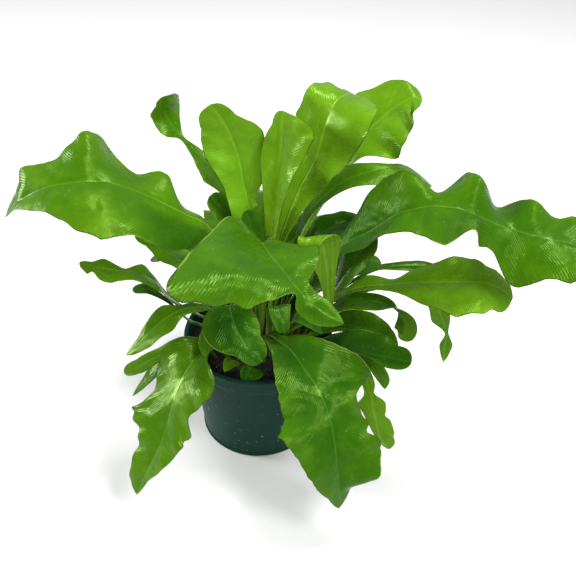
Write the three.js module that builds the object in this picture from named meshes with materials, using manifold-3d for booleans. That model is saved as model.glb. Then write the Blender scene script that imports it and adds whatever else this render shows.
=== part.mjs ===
// A birds nest fern in its round nursery pot: millimetres, +Z up, the origin at the middle of the
// pot's base. Each frond is one closed solid, with its stalk, midrib and waved blade, and stands in
// a plain hole in the potting mix.
import * as THREE from "three";
import { mergeVertices } from "three/addons/utils/BufferGeometryUtils.js";
import Module from "manifold-3d";

// Pot
const POT_HEIGHT = 94;
const RIM_RADIUS = 57;
const BASE_RADIUS = 44.5;
const RIM_BAND = 13;
const RIM_PROUD = 1.6;
const LIP_ROUND = 1.3;
const POT_WALL = 1.8;
const POT_FLOOR = 2.4;
const FOOT_BEAD = 1.1;
const POT_SIDES = 48;
const DRAIN_HOLES = 6;
const DRAIN_RADIUS = 5;
const DRAIN_CIRCLE = 32;

// Potting mix and crown
const MIX_LEVEL = 83;
const MIX_GAP = 0.3;
const MIX_CRUMB = 1.1;
const MIX_RINGS = 7;
const CROWN_RADIUS = 17;
const CROWN_RISE = 7;

// Fronds
const BLADE_THICKNESS = 0.75;
const STALK_DEPTH = 3.2;
const STALK_LENGTH = 70;
const STALK_HALF_WIDTH = 5;
const RIB_DEPTH = 1.5;
const TIP_HALF_WIDTH = 0.45;
const DROOP = -22;
const HOLE_GAP = 0.4;
const BLADE_ACROSS = 5;
const LARGE = { steps: 2 };
const SMALL = { steps: 1 };

// Each row along a frond, from the root to the tip, is the midrib's point x, y, z, then the left
// half's width and its lift in degrees, then the right half's width and its lift. Left and right
// are seen from the root, looking to the tip. The last row is the tip.
const FRONDS = {
  left_long: {
    size: LARGE,
    rows: [
      [-12, -4, 76, 2, 0, 2, 0],
      [-12, -8, 125, 2.5, 0, 2.5, 0],
      [-17, -13, 170, 5, 0, 5, 20],
      [-32, -20, 203, 13, -25, 8, -1],
      [-44, -24, 214, 25, -25, 12, -5],
      [-57, -29, 225, 35, -20, 25, 25],
      [-72, -34, 237, 35, -18, 25, -1],
      [-89, -38, 246, 43, -20, 39, 4],
      [-98, -40, 248, 42, -21, 38, 27],
      [-106, -42, 249, 37, -22, 34, 30],
      [-125, -44, 246, 21, -15, 20.5, 18],
      [-141, -44, 238, 11, -5, 22, 25],
      [-149, -43, 232, 5, 0, 9, 8],
      [-157, -42, 222, 0, 0, 0, 0],
    ],
    pointed: true,
  },
  back_left: {
    size: LARGE,
    facing: 140,
    rows: [
      [-10, 10, 76, 2, 0, 2, 0],
      [-9, 16, 128, 2.5, 0, 2.5, 0],
      [-10, 22, 161, 3, 0, 3, 0],
      [-20, 36, 187, 2, 10, 6, 10],
      [-33, 47, 205, 17, 17, 8, 10],
      [-47, 54, 217, 6.5, 12, 5, 10],
      [-57, 58, 227, 2.5, -1, 1.5, 10],
      [-63, 61, 233, 11, 4, 7, 0],
      [-69, 62, 245, 9.5, -20, 14.5, -2],
      [-65, 58, 260, 0, 0, 0, 0],
    ],
  },
  upright_left: {
    size: LARGE,
    facing: 100,
    rows: [
      [-7, 0, 76, 2, 0, 2, 0],
      [-5, 8, 126, 2.5, 0, 2.5, 0],
      [-6, 17, 165, 6, 10, 3, 10],
      [-8, 24, 190, 14, 20, 3.5, 20],
      [-12, 30, 208, 15, 15, 15, 15],
      [-15, 34, 225, 20.5, 4, 19, 15],
      [-20, 36, 240, 21.5, -6, 23, 18],
      [-26, 36, 254, 16, -2, 10, 13],
      [-33, 33, 266, 0, 0, 0, 0],
    ],
  },
  upright_mid: {
    size: LARGE,
    rows: [
      [0, 3, 76, 2, 0, 2, 0],
      [5, 5, 130, 2.5, 0, 2.5, 0],
      [9, 9, 169, 4, 20, 4, 20],
      [11, 13, 192, 7, 30, 8, 30],
      [12, 18, 214, 10, 30, 16, 30],
      [14, 22, 231, 13, 20, 20, 20],
      [15, 25, 245, 12, 15, 25, 10],
      [15, 27, 255, 7, 10, 27, 4],
      [16, 28, 265, 0, 0, 0, 0],
    ],
  },
  top_large: {
    size: LARGE,
    rows: [
      [6, -3, 76, 2, 0, 2, 0],
      [10, 2, 130, 2.5, 0, 2.5, 0],
      [15, 9, 168, 4, 10, 4, 10],
      [22, 15, 194, 7, 25, 10, 10],
      [29, 20, 212, 10, 25, 13, -11],
      [37, 24, 227, 22.5, 2, 23, 14],
      [41, 27, 240, 27, 0, 25, -10],
      [45, 30, 257, 23.5, 8, 33, -1],
      [50, 36, 267, 21, 24, 33.5, 2],
      [57, 46, 269, 19, 12, 25, -3],
      [65, 58, 264, 15, 0, 15.5, -3],
      [70, 66, 254, 0, 0, 0, 0],
    ],
  },
  top_right: {
    size: LARGE,
    rows: [
      [8, 9, 76, 2, 0, 2, 0],
      [17, 13, 136, 2.5, 0, 2.5, 0],
      [30, 22, 166, 3, 0, 3, 0],
      [47, 38, 195, 5, 10, 6, 10],
      [64, 50, 222, 11, 20, 12.5, 9],
      [75, 57, 235, 23, 20, 30.5, -20],
      [84, 61, 243, 29, 20, 31.5, -6],
      [93, 65, 250, 26, 15, 24.5, -12],
      [101, 67, 255, 21.5, 16, 25, 1],
      [107, 66, 259, 10.5, 15, 16, -15],
      [113, 65, 258, 0, 0, 0, 0],
    ],
  },
  arch_right: {
    size: LARGE,
    rows: [
      [14, 3, 76, 2, 0, 2, 0],
      [19, 6, 130, 2.5, 0, 2.5, 0],
      [25, 10, 164, 3, 0, 3, 0],
      [32, 14, 188, 5, 0, 5, 0],
      [44, 20, 202, 14, 10, 6, 0],
      [60, 24, 215, 15, 5, 8, -10],
      [79, 28, 221, 8, 20, 12, -20],
      [94, 33, 222, 3.5, 11, 12, -30],
      [107, 40, 216, 7.5, -5, 17.5, -10],
      [116, 40, 210, 5, 0, 18, -5],
      [124, 38, 204, 0, 0, 0, 0],
    ],
    pointed: true,
  },
  front_centre: {
    size: LARGE,
    rows: [
      [0, -13, 76, 2, 0, 2, 0],
      [4, -18, 129, 3, 10, 3, 10],
      [5, -27, 166, 7, 60, 9, 65],
      [5, -40, 199, 10, 60, 21, 72],
      [5, -56, 217, 7.5, 8, 23.5, 56],
      [7, -74, 227, 18, -7, 32.5, 27],
      [12, -90, 231, 28, 1, 51.5, 13],
      [19, -104, 232, 23.5, 7, 69, 7],
      [23, -111, 231, 13.5, -6, 39.5, -3],
      [25, -114.5, 231, 9, 4, 28.5, -12],
      [26.5, -116.7, 230.5, 8, 8, 14.5, -6],
      [28.5, -119, 229.5, 7, 10, 4, 25],
      [33, -122, 226, 7, 0, 9, -28],
      [42, -126, 221, 6.5, 11, 8.5, -42],
      [53, -129, 216, 0, 0, 0, 0],
    ],
    pointed: true,
  },
  right_long: {
    size: LARGE,
    rows: [
      [12, -2, 76, 2, 0, 2, 0],
      [18, -3, 112, 2.5, 0, 2.5, 0],
      [29, -5, 140, 4, 0, 4, 0],
      [45, -9, 167, 7, 20, 7, 0],
      [60, -12, 186, 10, 30, 11, -10],
      [76, -16, 200, 20.5, 42, 18, 0],
      [91, -20, 216, 30, 36, 23, 2],
      [103, -24, 224, 24.5, 40, 22, -8],
      [113, -28, 229, 14.5, 7, 25.5, -17],
      [124, -32, 231, 31, 9, 31.5, -13],
      [130, -34, 231, 29.5, 27, 34.5, -3],
      [137, -36, 229, 23.5, 33, 35, 17],
      [154, -40, 224, 28, -8, 18, -38],
      [171, -44, 221, 23, 40, 34, -55],
      [189, -48, 219, 20, 11, 27, -28],
      [204, -50, 217, 21, 20, 26, -24],
      [220, -52, 214, 0, 0, 0, 0],
    ],
  },
  right_mid: {
    size: LARGE,
    rows: [
      [20, -4, 76, 2, 0, 2, 0],
      [28, -5, 106, 2.5, 0, 2.5, 0],
      [44, -9, 128, 2.5, 0, 2.5, 0],
      [63, -15, 146, 5, 10, 3, 0],
      [77, -19, 155, 10, 20, 4, 0],
      [93, -25, 162, 7, 0, 7, 0],
      [107, -29, 167, 13, 15, 14, -5],
      [121, -34, 172, 18, 20, 22, -12],
      [136, -38, 176, 21, 20, 29, -12],
      [149, -43, 180, 18, 10, 25, -18],
      [160, -46, 179, 15, 0, 19, -20],
      [171, -48, 172, 0, 0, 0, 0],
    ],
  },
  front_right: {
    size: LARGE,
    rows: [
      [5, -24, 76, 2, 0, 2, 0],
      [5, -26, 104, 2.5, 0, 2.5, 0],
      [9, -31, 116, 5, 30, 5, 30],
      [17, -40, 119, 6, 30, 12, 20],
      [25, -48, 119, 16, 30, 16, 10],
      [34, -64, 118, 32, 12, 22, 0],
      [43, -79, 115, 45, -6, 28, -10],
      [49, -91, 110, 23, 10, 30, -23],
      [53, -101, 102, 26, -7, 34.5, -13],
      [56, -108, 90, 29, 10, 28, -10],
      [58, -114, 77, 32, 12, 23, 0],
      [60, -119, 62, 26.5, 21, 15, 0],
      [61, -121, 54, 9, -8, 9, 0],
      [61, -124, 43, 0, 0, 0, 0],
    ],
    pointed: true,
  },
  front_left: {
    size: LARGE,
    rows: [
      [-13, -20, 76, 2, 0, 2, 0],
      [-18, -22, 99, 2.5, 0, 2.5, 0],
      [-25, -27, 107, 4, 10, 3, 20],
      [-33, -36, 110, 6, 20, 9, 20],
      [-41, -47, 110, 10, 20, 20, 20],
      [-48, -59, 107, 26, 9, 27, -10],
      [-53, -70, 100, 30, 11, 24, -16],
      [-57, -80, 91, 18.5, 2, 26, -8],
      [-60, -88, 80, 19.5, -6, 34.5, -1],
      [-65, -94, 68, 15, 0, 18, 15],
      [-71, -99, 55, 10, 5, 15, 10],
      [-77, -102, 42, 4, 0, 11, 27],
      [-83, -105, 27, 0, 0, 0, 0],
    ],
    pointed: true,
  },
  right_behind: {
    size: SMALL,
    rows: [
      [25, 2, 76, 2, 0, 2, 0],
      [34, 2, 104, 2, 0, 2, 0],
      [47, 3, 120, 2, 0, 2, 0],
      [61, 5, 133, 2, 0, 2, 0],
      [75, 7, 144, 2, 0, 2, 0],
      [88, 9, 151, 3, 0, 3, 0],
      [100, 10, 152, 4, 10, 4, -10],
      [111, 11, 152, 5, 10, 5, -10],
      [123, 11, 152, 5, 10, 6, -10],
      [137, 9, 151, 0, 0, 0, 0],
    ],
    pointed: true,
  },
  right_twist: {
    size: LARGE,
    rows: [
      [25, -10, 76, 2, 0, 2, 0],
      [33, -12, 100, 2, 0, 2, 0],
      [43, -13, 117, 3, 0, 3, 0],
      [54, -15, 127, 7, 20, 5, 0],
      [64, -19, 137, 10, 20, 6, 0],
      [77, -23, 144, 9, 20, 9, 0],
      [89, -27, 147, 6, 20, 9, 0],
      [98, -31, 145, 6, -20, 8, 50],
      [104, -35, 138, 8, -60, 9, 80],
      [105, -38, 129, 8, -75, 8, 80],
      [101, -39, 126, 0, 0, 0, 0],
    ],
    pointed: true,
  },
  right_hanging: {
    size: SMALL,
    rows: [
      [30, 9, 76, 2, 0, 2, 0],
      [44, 10, 106, 2, 0, 2, 0],
      [62, 6, 124, 2, 0, 2, 0],
      [90, 0, 140, 2.5, 0, 2.5, 0],
      [110, -3, 147, 4, 0, 4, 0],
      [124, -6, 143, 7, 30, 7, -30],
      [131, -8, 133, 7, 60, 7, -60],
      [137, -10, 120, 6, 80, 8, -80],
      [142, -10, 106, 1.5, 80, 1.5, -80],
      [143, -10, 92, 5.5, 80, 4.5, -80],
      [144, -10, 76, 0, 0, 0, 0],
    ],
    pointed: true,
  },
  low_right_back: {
    size: LARGE,
    rows: [
      [21, -17, 76, 2, 0, 2, 0],
      [30, -18, 99, 2.5, 0, 2.5, 0],
      [46, -17, 110, 6, 20, 5, 0],
      [64, -19, 118, 14, 20, 6, -5],
      [79, -30, 125, 14, 20, 6, -10],
      [90, -37, 126, 9, 10, 6, -10],
      [97, -49, 121, 0, 0, 0, 0],
    ],
  },
  low_right_dark: {
    size: SMALL,
    rows: [
      [20, -25, 76, 2, 0, 2, 0],
      [29, -27, 94, 2.5, 0, 2.5, 0],
      [47, -31, 106, 12, 5, 4, 0],
      [64, -41, 116, 14, 32, 2.5, 0],
      [82, -51, 120, 17, 42, 3.5, -10],
      [96, -58, 123, 12, 13, 9, -10],
      [108, -62, 124, 0, 0, 0, 0],
    ],
  },
  centre_dark: {
    size: LARGE,
    rows: [
      [-4, -21, 76, 2, 0, 2, 0],
      [-9, -21, 110, 2.5, 0, 2.5, 0],
      [-16, -20, 132, 6, 0, 6, 0],
      [-19, -26, 139, 13, 0, 13, 0],
      [-16, -37, 137, 16, 0, 23, 0],
      [-11, -46, 131, 16, 0, 21, 0],
      [-5, -52, 125, 12, 0, 10, 0],
      [5, -57, 116, 0, 0, 0, 0],
    ],
  },
  left_mid: {
    size: LARGE,
    rows: [
      [-18, -13, 76, 2, 0, 2, 0],
      [-24, -16, 112, 2, 0, 2, 0],
      [-33, -21, 132, 3, 0, 3, 0],
      [-42, -29, 140, 5, 0, 6, 5],
      [-51, -35, 143, 5, -15, 5, 10],
      [-58, -41, 143, 7.5, -15, 12, 7],
      [-65, -47, 141, 13, 2, 10, 9],
      [-72, -53, 137, 12, 7, 7.5, 8],
      [-79, -57, 131, 8, 0, 4, 3],
      [-88, -61, 123, 0, 0, 0, 0],
    ],
    pointed: true,
  },
  left_wavy: {
    size: LARGE,
    rows: [
      [-21, -4, 76, 2, 0, 2, 0],
      [-30, -9, 106, 2, 0, 2, 0],
      [-45, -16, 124, 2, 0, 2, 0],
      [-57, -20, 136, 3, 0, 3, 0],
      [-65, -23, 148, 8, 0, 8, 0],
      [-70, -26, 160, 11, 0, 9.5, 3],
      [-77, -30, 169, 11, -4, 9, 20],
      [-85, -33, 174, 9, -4, 5, 20],
      [-93, -36, 177, 9, -20, 6, 17],
      [-101, -40, 181, 12.5, -12, 8, 28],
      [-108, -42, 185, 6.5, -14, 3.5, 14],
      [-115, -44, 188, 0, 0, 0, 0],
    ],
  },
  left_under: {
    size: SMALL,
    rows: [
      [-17, -1, 76, 2, 0, 2, 0],
      [-20, -6, 128, 2.5, 0, 2.5, 0],
      [-33, -13, 160, 11, 0, 5, 0],
      [-46, -18, 175, 16, -10, 9, 10],
      [-57, -22, 185, 20, -10, 9, 10],
      [-66, -25, 193, 14.5, -19, 8, 10],
      [-73, -27, 198, 7.5, -18, 6, 0],
      [-80, -28, 202, 0, 0, 0, 0],
    ],
  },
  curled: {
    size: LARGE,
    rows: [
      [13, -16, 76, 2, 0, 2, 0],
      [18, -17, 102, 2, 0, 2, 0],
      [33, -20, 120, 2.5, 0, 2.5, 0],
      [45, -24, 131, 3.5, 0, 3.5, 0],
      [50, -27, 143, 4.5, 0, 3.5, 0],
      [49, -30, 164, 6, 0, 4.5, 0],
      [47, -32, 184, 9, 0, 9, 0],
      [44, -36, 200, 13, -10, 13, -10],
      [40, -42, 212, 12, -20, 13, -20],
      [36, -48, 217, 9, -20, 9, -20],
      [33, -53, 217, 7, -10, 6, -10],
      [32, -56, 213, 0, 0, 0, 0],
    ],
  },
  blue_green: {
    size: SMALL,
    rows: [
      [12, -9, 76, 2, 0, 2, 0],
      [18, -10, 104, 2, 0, 2, 0],
      [36, -13, 124, 2.5, 0, 2.5, 0],
      [52, -14, 143, 5, 0, 6, 0],
      [61, -15, 161, 11, 30, 12, -10],
      [66, -17, 174, 12, 30, 13, -20],
      [73, -19, 188, 10, 30, 11, -30],
      [81, -24, 199, 0, 0, 0, 0],
    ],
  },
  back_right_dark: {
    size: SMALL,
    rows: [
      [14, 12, 76, 2, 0, 2, 0],
      [22, 12, 118, 2, 0, 2, 0],
      [31, 13, 146, 3, 0, 3, 0],
      [41, 17, 168, 9, 10, 8, 0],
      [49, 20, 176, 13, 15, 13, 0],
      [58, 24, 178, 12, 15, 13, 0],
      [67, 28, 178, 10, 15, 12, 0],
      [78, 31, 175, 0, 0, 0, 0],
    ],
  },
  right_small: {
    size: SMALL,
    rows: [
      [17, 5, 76, 2, 0, 2, 0],
      [28, 4, 112, 2, 0, 2, 0],
      [44, 0, 134, 2, 0, 2, 0],
      [58, -3, 148, 4, 0, 4, 0],
      [68, -3, 156, 9, 10, 7, 0],
      [76, -2, 161, 11, 10, 8, 0],
      [88, 0, 163, 0, 0, 0, 0],
    ],
  },
  left_small_dark: {
    size: SMALL,
    rows: [
      [-14, 5, 76, 2, 0, 2, 0],
      [-12, 9, 122, 2, 0, 2, 0],
      [-12, 13, 150, 3, 0, 3, 0],
      [-18, 19, 173, 6, 0, 6, 0],
      [-25, 24, 184, 9, 0, 9, 10],
      [-30, 27, 190, 8, 0, 9, 10],
      [-36, 28, 197, 0, 0, 0, 0],
    ],
  },
  centre_small_dark: {
    size: SMALL,
    rows: [
      [-3, -6, 76, 2, 0, 2, 0],
      [-2, -6, 122, 2, 0, 2, 0],
      [0, -4, 152, 3, 0, 3, 0],
      [-1, -1, 173, 5, 10, 5, 10],
      [-4, 1, 186, 8, 10, 8, 10],
      [-6, 3, 194, 7, 10, 8, 10],
      [-9, 4, 201, 0, 0, 0, 0],
    ],
  },
  left_round: {
    size: SMALL,
    rows: [
      [-25, -12, 76, 2, 0, 2, 0],
      [-37, -18, 110, 2, 0, 2, 0],
      [-49, -24, 124, 2, 0, 2, 0],
      [-60, -26, 140, 2.5, 0, 2.5, 0],
      [-69, -28, 151, 5, 0, 5, 0],
      [-76, -31, 158, 6, 0, 6, 0],
      [-85, -33, 158, 0, 0, 0, 0],
    ],
  },
  low_left_out: {
    size: SMALL,
    rows: [
      [-27, -17, 76, 2, 0, 2, 0],
      [-37, -22, 97, 2, 0, 2, 0],
      [-48, -28, 105, 2.5, 0, 2.5, 0],
      [-59, -29, 104, 5, 0, 6, 0],
      [-69, -34, 99, 6, 0, 8, 0],
      [-78, -39, 97, 7, 0, 8, 0],
      [-86, -43, 94, 7, 0, 8, 0],
      [-96, -45, 91, 0, 0, 0, 0],
    ],
  },
  low_left_tip: {
    size: SMALL,
    rows: [
      [-32, -9, 76, 2, 0, 2, 0],
      [-42, -17, 95, 2, 0, 2, 0],
      [-53, -25, 99, 3, 0, 3, 0],
      [-65, -33, 94, 5, 0, 5, 0],
      [-75, -38, 86, 6, 0, 7, 0],
      [-83, -42, 77, 4, 0, 4, 0],
      [-92, -45, 66, 0, 0, 0, 0],
    ],
    pointed: true,
  },
  low_right_hanging: {
    size: SMALL,
    rows: [
      [34, -12, 76, 2, 0, 2, 0],
      [45, -17, 95, 2, 0, 2, 0],
      [60, -24, 100, 2.5, 0, 2.5, 0],
      [76, -35, 93, 5, 20, 5, -20],
      [84, -44, 78, 6, 60, 4, -63],
      [88, -50, 63, 9, 60, 8.5, -73],
      [92, -53, 47, 12, 60, 5, -60],
      [96, -55, 35, 10, 60, 4, -94],
      [103, -56, 26, 0, 0, 0, 0],
    ],
  },
  low_right_tip: {
    size: SMALL,
    rows: [
      [29, -19, 76, 2, 0, 2, 0],
      [44, -23, 98, 2, 0, 2, 0],
      [66, -30, 103, 3, 0, 3, 0],
      [84, -36, 98, 5, 20, 5, -20],
      [91, -39, 91, 5, 50, 5, -50],
      [95, -41, 84, 4, 60, 4, -60],
      [96, -42, 77, 0, 0, 0, 0],
    ],
    pointed: true,
  },
  rim_left: {
    size: SMALL,
    rows: [
      [-19, -20, 76, 2, 0, 2, 0],
      [-29, -21, 105, 2, 0, 2, 0],
      [-30, -31, 126, 2.5, 0, 2.5, 0],
      [-34, -41, 129, 4, 0, 4, 0],
      [-35, -49, 123, 5, 0, 5, 0],
      [-35, -54, 117, 0, 0, 0, 0],
    ],
    pointed: true,
  },
  inner_dark: {
    size: LARGE,
    facing: 285,
    rows: [
      [10, -20, 76, 2, 0, 2, 0],
      [11, -20, 106, 2, 0, 2, 0],
      [12, -22, 122, 6, 10, 5, 10],
      [13, -25, 135, 10, 5, 6, 10],
      [14, -29, 143, 11, 0, 6, 5],
      [16, -34, 143, 9, -5, 7, 0],
      [18, -39, 138, 6, 0, 6, 0],
      [20, -43, 131, 0, 0, 0, 0],
    ],
  },
  front_small: {
    size: SMALL,
    rows: [
      [14, -24, 76, 2, 0, 2, 0],
      [18, -26, 104, 2, 0, 2, 0],
      [23, -28, 124, 4, 10, 4, 0],
      [29, -30, 134, 7, 10, 6, 0],
      [35, -33, 136, 8, 5, 7, 0],
      [41, -36, 134, 6, 0, 6, 0],
      [47, -39, 128, 0, 0, 0, 0],
    ],
    pointed: true,
  },
  rim_front_left: {
    size: SMALL,
    rows: [
      [-10, -30, 76, 2, 0, 2, 0],
      [-12, -34, 90, 3, 0, 3, 0],
      [-16, -39, 99, 6, 0, 6, 0],
      [-19, -45, 101, 5, 0, 5, 0],
      [-22, -50, 99, 0, 0, 0, 0],
    ],
    pointed: true,
  },
  rim_front_mid: {
    size: SMALL,
    rows: [
      [0, -33, 76, 2, 0, 2, 0],
      [-1, -37, 89, 3, 0, 3, 0],
      [-3, -42, 95, 11, 0, 7, 0],
      [-6, -47, 93, 9, 0, 6, 0],
      [-9, -51, 87, 0, 0, 0, 0],
    ],
    pointed: true,
  },
  back_centre: {
    size: LARGE,
    rows: [
      [1, 14, 76, 2, 0, 2, 0],
      [2, 26, 132, 3, 0, 3, 0],
      [3, 46, 160, 14, 20, 14, 20],
      [4, 66, 170, 22, 15, 22, 10],
      [5, 86, 166, 21, 0, 22, 20],
      [5, 104, 150, 16, 20, 15, -5],
      [5, 118, 126, 0, 0, 0, 0],
    ],
  },
  back_mid_left: {
    size: LARGE,
    rows: [
      [-8, 16, 76, 2, 0, 2, 0],
      [-12, 26, 122, 3, 0, 3, 0],
      [-18, 42, 148, 12, 20, 12, 20],
      [-25, 62, 154, 19, 5, 18, 20],
      [-31, 82, 146, 17, 20, 18, 0],
      [-36, 98, 127, 12, 0, 12, 15],
      [-38, 108, 104, 0, 0, 0, 0],
    ],
  },
  back_mid_right: {
    size: LARGE,
    rows: [
      [10, 17, 76, 2, 0, 2, 0],
      [16, 28, 122, 3, 0, 3, 0],
      [25, 46, 146, 12, 20, 12, 20],
      [34, 66, 152, 19, 20, 18, 5],
      [42, 86, 143, 17, 0, 18, 20],
      [47, 102, 123, 12, 15, 12, 0],
      [49, 112, 100, 0, 0, 0, 0],
    ],
  },
  back_low_left: {
    size: SMALL,
    rows: [
      [-18, 10, 76, 2, 0, 2, 0],
      [-27, 19, 108, 3, 0, 3, 0],
      [-43, 32, 128, 11, 20, 11, 15],
      [-58, 44, 133, 16, 10, 15, 20],
      [-72, 55, 127, 14, 20, 14, 0],
      [-85, 64, 110, 0, 0, 0, 0],
    ],
  },
  back_low_centre: {
    size: SMALL,
    rows: [
      [-2, 22, 76, 2, 0, 2, 0],
      [-5, 36, 108, 3, 0, 3, 0],
      [-8, 56, 126, 12, 20, 12, 20],
      [-10, 76, 126, 17, 10, 17, 20],
      [-11, 94, 112, 14, 20, 15, 0],
      [-11, 106, 90, 0, 0, 0, 0],
    ],
  },
  back_low_right: {
    size: SMALL,
    rows: [
      [21, 14, 76, 2, 0, 2, 0],
      [33, 22, 104, 3, 0, 3, 0],
      [48, 32, 122, 10, 20, 10, 15],
      [62, 42, 126, 14, 10, 14, 20],
      [75, 51, 118, 11, 20, 12, 0],
      [86, 58, 101, 0, 0, 0, 0],
    ],
  },
};

const FROND_COLOURS = { bright: 0x6fae22, plain: 0x4f8f1c, dark: 0x2f6a14 };
const DARK_FRONDS = [
  "centre_dark",
  "low_right_dark",
  "inner_dark",
  "back_right_dark",
  "left_small_dark",
  "centre_small_dark",
];
const BRIGHT_FRONDS = [
  "left_long",
  "upright_left",
  "upright_mid",
  "top_large",
  "top_right",
  "front_centre",
  "right_mid",
  "front_left",
];

const radians = (degrees) => (degrees * Math.PI) / 180;

// The value of a smooth curve through four numbers, between the middle two.
function throughFour(a, b, c, d, t) {
  return (
    b +
    0.5 * t * (c - a + t * (2 * a - 5 * b + 4 * c - d + t * (3 * (b - c) + d - a)))
  );
}

// A frond's row at position i + t, with points, widths and lifts all on smooth curves. Over the
// last stretch the widths close to a round or a pointed tip instead.
function rowAt(rows, i, t, pointed) {
  const at = (k) => rows[Math.min(Math.max(k, 0), rows.length - 1)];
  const row = rows[0].map((_, n) =>
    throughFour(at(i - 1)[n], at(i)[n], at(i + 1)[n], at(i + 2)[n], t),
  );
  if (i === rows.length - 2) {
    const close = pointed ? 1 - Math.pow(t, 1.4) : Math.sqrt(1 - t * t);
    for (const n of [3, 5]) row[n] = at(i)[n] * close;
    for (const n of [4, 6]) row[n] = at(i)[n];
  }
  for (const n of [3, 5]) row[n] = Math.max(row[n], TIP_HALF_WIDTH);
  return row;
}

// The stations along a frond, closer together towards a round tip.
function stations(frond) {
  const { rows, size, pointed } = frond;
  const last = rows.length - 2;
  const list = [];
  for (let i = 0; i < last; i++) {
    const widest = Math.max(rows[i][3], rows[i][5], rows[i + 1][3], rows[i + 1][5]);
    const steps = widest > STALK_HALF_WIDTH ? size.steps : 1;
    for (let k = 0; k < steps; k++) list.push(rowAt(rows, i, k / steps, pointed));
  }
  const ends = size.steps + 1;
  for (let k = 0; k <= ends; k++)
    list.push(rowAt(rows, last, Math.sin((Math.PI / 2) * (k / ends)), pointed));
  return list;
}

// A point of one half of the blade, across and up from the midrib: the half leaves the rib above
// its lift and curves down past it, as an arc.
function halfBlade(width, lift, share) {
  const start = radians(lift - DROOP / 2);
  const turn = radians(DROOP);
  const end = start + turn * share;
  return [
    (width * (Math.sin(end) - Math.sin(start))) / turn,
    (width * (Math.cos(start) - Math.cos(end))) / turn,
  ];
}

// The frond's middle surface as a grid of points, one line of them for each station.
function frondSurface(frond) {
  const list = stations(frond);
  const ribs = list.map((row) => new THREE.Vector3(row[0], row[1], row[2]));
  const heading = ribs[ribs.length - 1].clone().sub(ribs[0]).setZ(0).normalize();
  if (frond.facing !== undefined)
    heading.set(Math.cos(radians(frond.facing)), Math.sin(radians(frond.facing)), 0);
  const level = new THREE.Vector3(heading.y, -heading.x, 0);
  const half = (BLADE_ACROSS - 1) / 2;
  return list.map((row, i) => {
    const along = ribs[Math.min(i + 1, ribs.length - 1)]
      .clone()
      .sub(ribs[Math.max(i - 1, 0)])
      .normalize();
    const side = level.clone().addScaledVector(along, -level.dot(along)).normalize();
    const up = new THREE.Vector3().crossVectors(side, along);
    const line = [];
    for (let k = -half; k <= half; k++) {
      const share = Math.abs(k) / half;
      const [across, rise] =
        k < 0
          ? halfBlade(row[3], row[4], share)
          : halfBlade(row[5], row[6], share);
      line.push(
        ribs[i]
          .clone()
          .addScaledVector(side, Math.sign(k) * across)
          .addScaledVector(up, rise),
      );
    }
    return line;
  });
}

// The surface's normal at each of its grid's points.
function gridNormals(grid) {
  return grid.map((line, i) =>
    line.map((_, k) => {
      const along = grid[Math.min(i + 1, grid.length - 1)][k]
        .clone()
        .sub(grid[Math.max(i - 1, 0)][k]);
      const across = line[Math.min(k + 1, line.length - 1)]
        .clone()
        .sub(line[Math.max(k - 1, 0)]);
      return across.cross(along).normalize();
    }),
  );
}

// The points of a frond's two faces, top and bottom by turns along each station, with the midrib
// and the stalk standing out below.
function frondPoints(frond) {
  const grid = frondSurface(frond);
  const normals = gridNormals(grid);
  const middle = (BLADE_ACROSS - 1) / 2;
  const points = [];
  let length = 0;
  grid.forEach((line, i) => {
    if (i) length += line[middle].distanceTo(grid[i - 1][middle]);
    const stalk = Math.max(0, 1 - length / STALK_LENGTH);
    const toTip = i / (grid.length - 1);
    const rib = THREE.MathUtils.lerp(RIB_DEPTH, BLADE_THICKNESS, toTip * toTip);
    line.forEach((point, k) => {
      const depth = k === middle ? Math.max(rib, STALK_DEPTH * stalk) : BLADE_THICKNESS;
      const n = normals[i][k];
      points.push(point.clone().addScaledVector(n, BLADE_THICKNESS / 2));
      points.push(point.clone().addScaledVector(n, BLADE_THICKNESS / 2 - depth));
    });
  });
  return points;
}

// One closed solid for a frond: its two faces, split into triangles alike, and the edges between.
function frondGeometry(frond) {
  const points = frondPoints(frond);
  const across = BLADE_ACROSS;
  const rows = points.length / (2 * across);
  const top = (i, k) => 2 * (i * across + k);
  const bottom = (i, k) => top(i, k) + 1;
  const faces = [];
  const quad = (a, b, c, d) => faces.push(a, b, c, a, c, d);
  for (let i = 0; i < rows - 1; i++) {
    for (let k = 0; k < across - 1; k++) {
      quad(top(i, k), top(i, k + 1), top(i + 1, k + 1), top(i + 1, k));
      faces.push(bottom(i, k), bottom(i + 1, k + 1), bottom(i, k + 1));
      faces.push(bottom(i, k), bottom(i + 1, k), bottom(i + 1, k + 1));
    }
    const end = across - 1;
    quad(top(i, 0), top(i + 1, 0), bottom(i + 1, 0), bottom(i, 0));
    quad(top(i, end), bottom(i, end), bottom(i + 1, end), top(i + 1, end));
  }
  for (let k = 0; k < across - 1; k++) {
    const tip = rows - 1;
    quad(top(0, k), bottom(0, k), bottom(0, k + 1), top(0, k + 1));
    quad(top(tip, k), top(tip, k + 1), bottom(tip, k + 1), bottom(tip, k));
  }
  return solidGeometry(points, faces);
}

function solidGeometry(points, faces) {
  const geometry = new THREE.BufferGeometry().setFromPoints(points);
  geometry.setIndex(faces);
  geometry.computeVertexNormals();
  return geometry;
}

const wasm = await Module();
wasm.setup();

function toSolid(geometry) {
  const bare = geometry.clone();
  bare.deleteAttribute("normal");
  bare.deleteAttribute("uv");
  const merged = mergeVertices(bare, 1e-4);
  return new wasm.Manifold(
    new wasm.Mesh({
      numProp: 3,
      vertProperties: new Float32Array(merged.attributes.position.array),
      triVerts: new Uint32Array(merged.index.array),
    }),
  );
}

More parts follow.
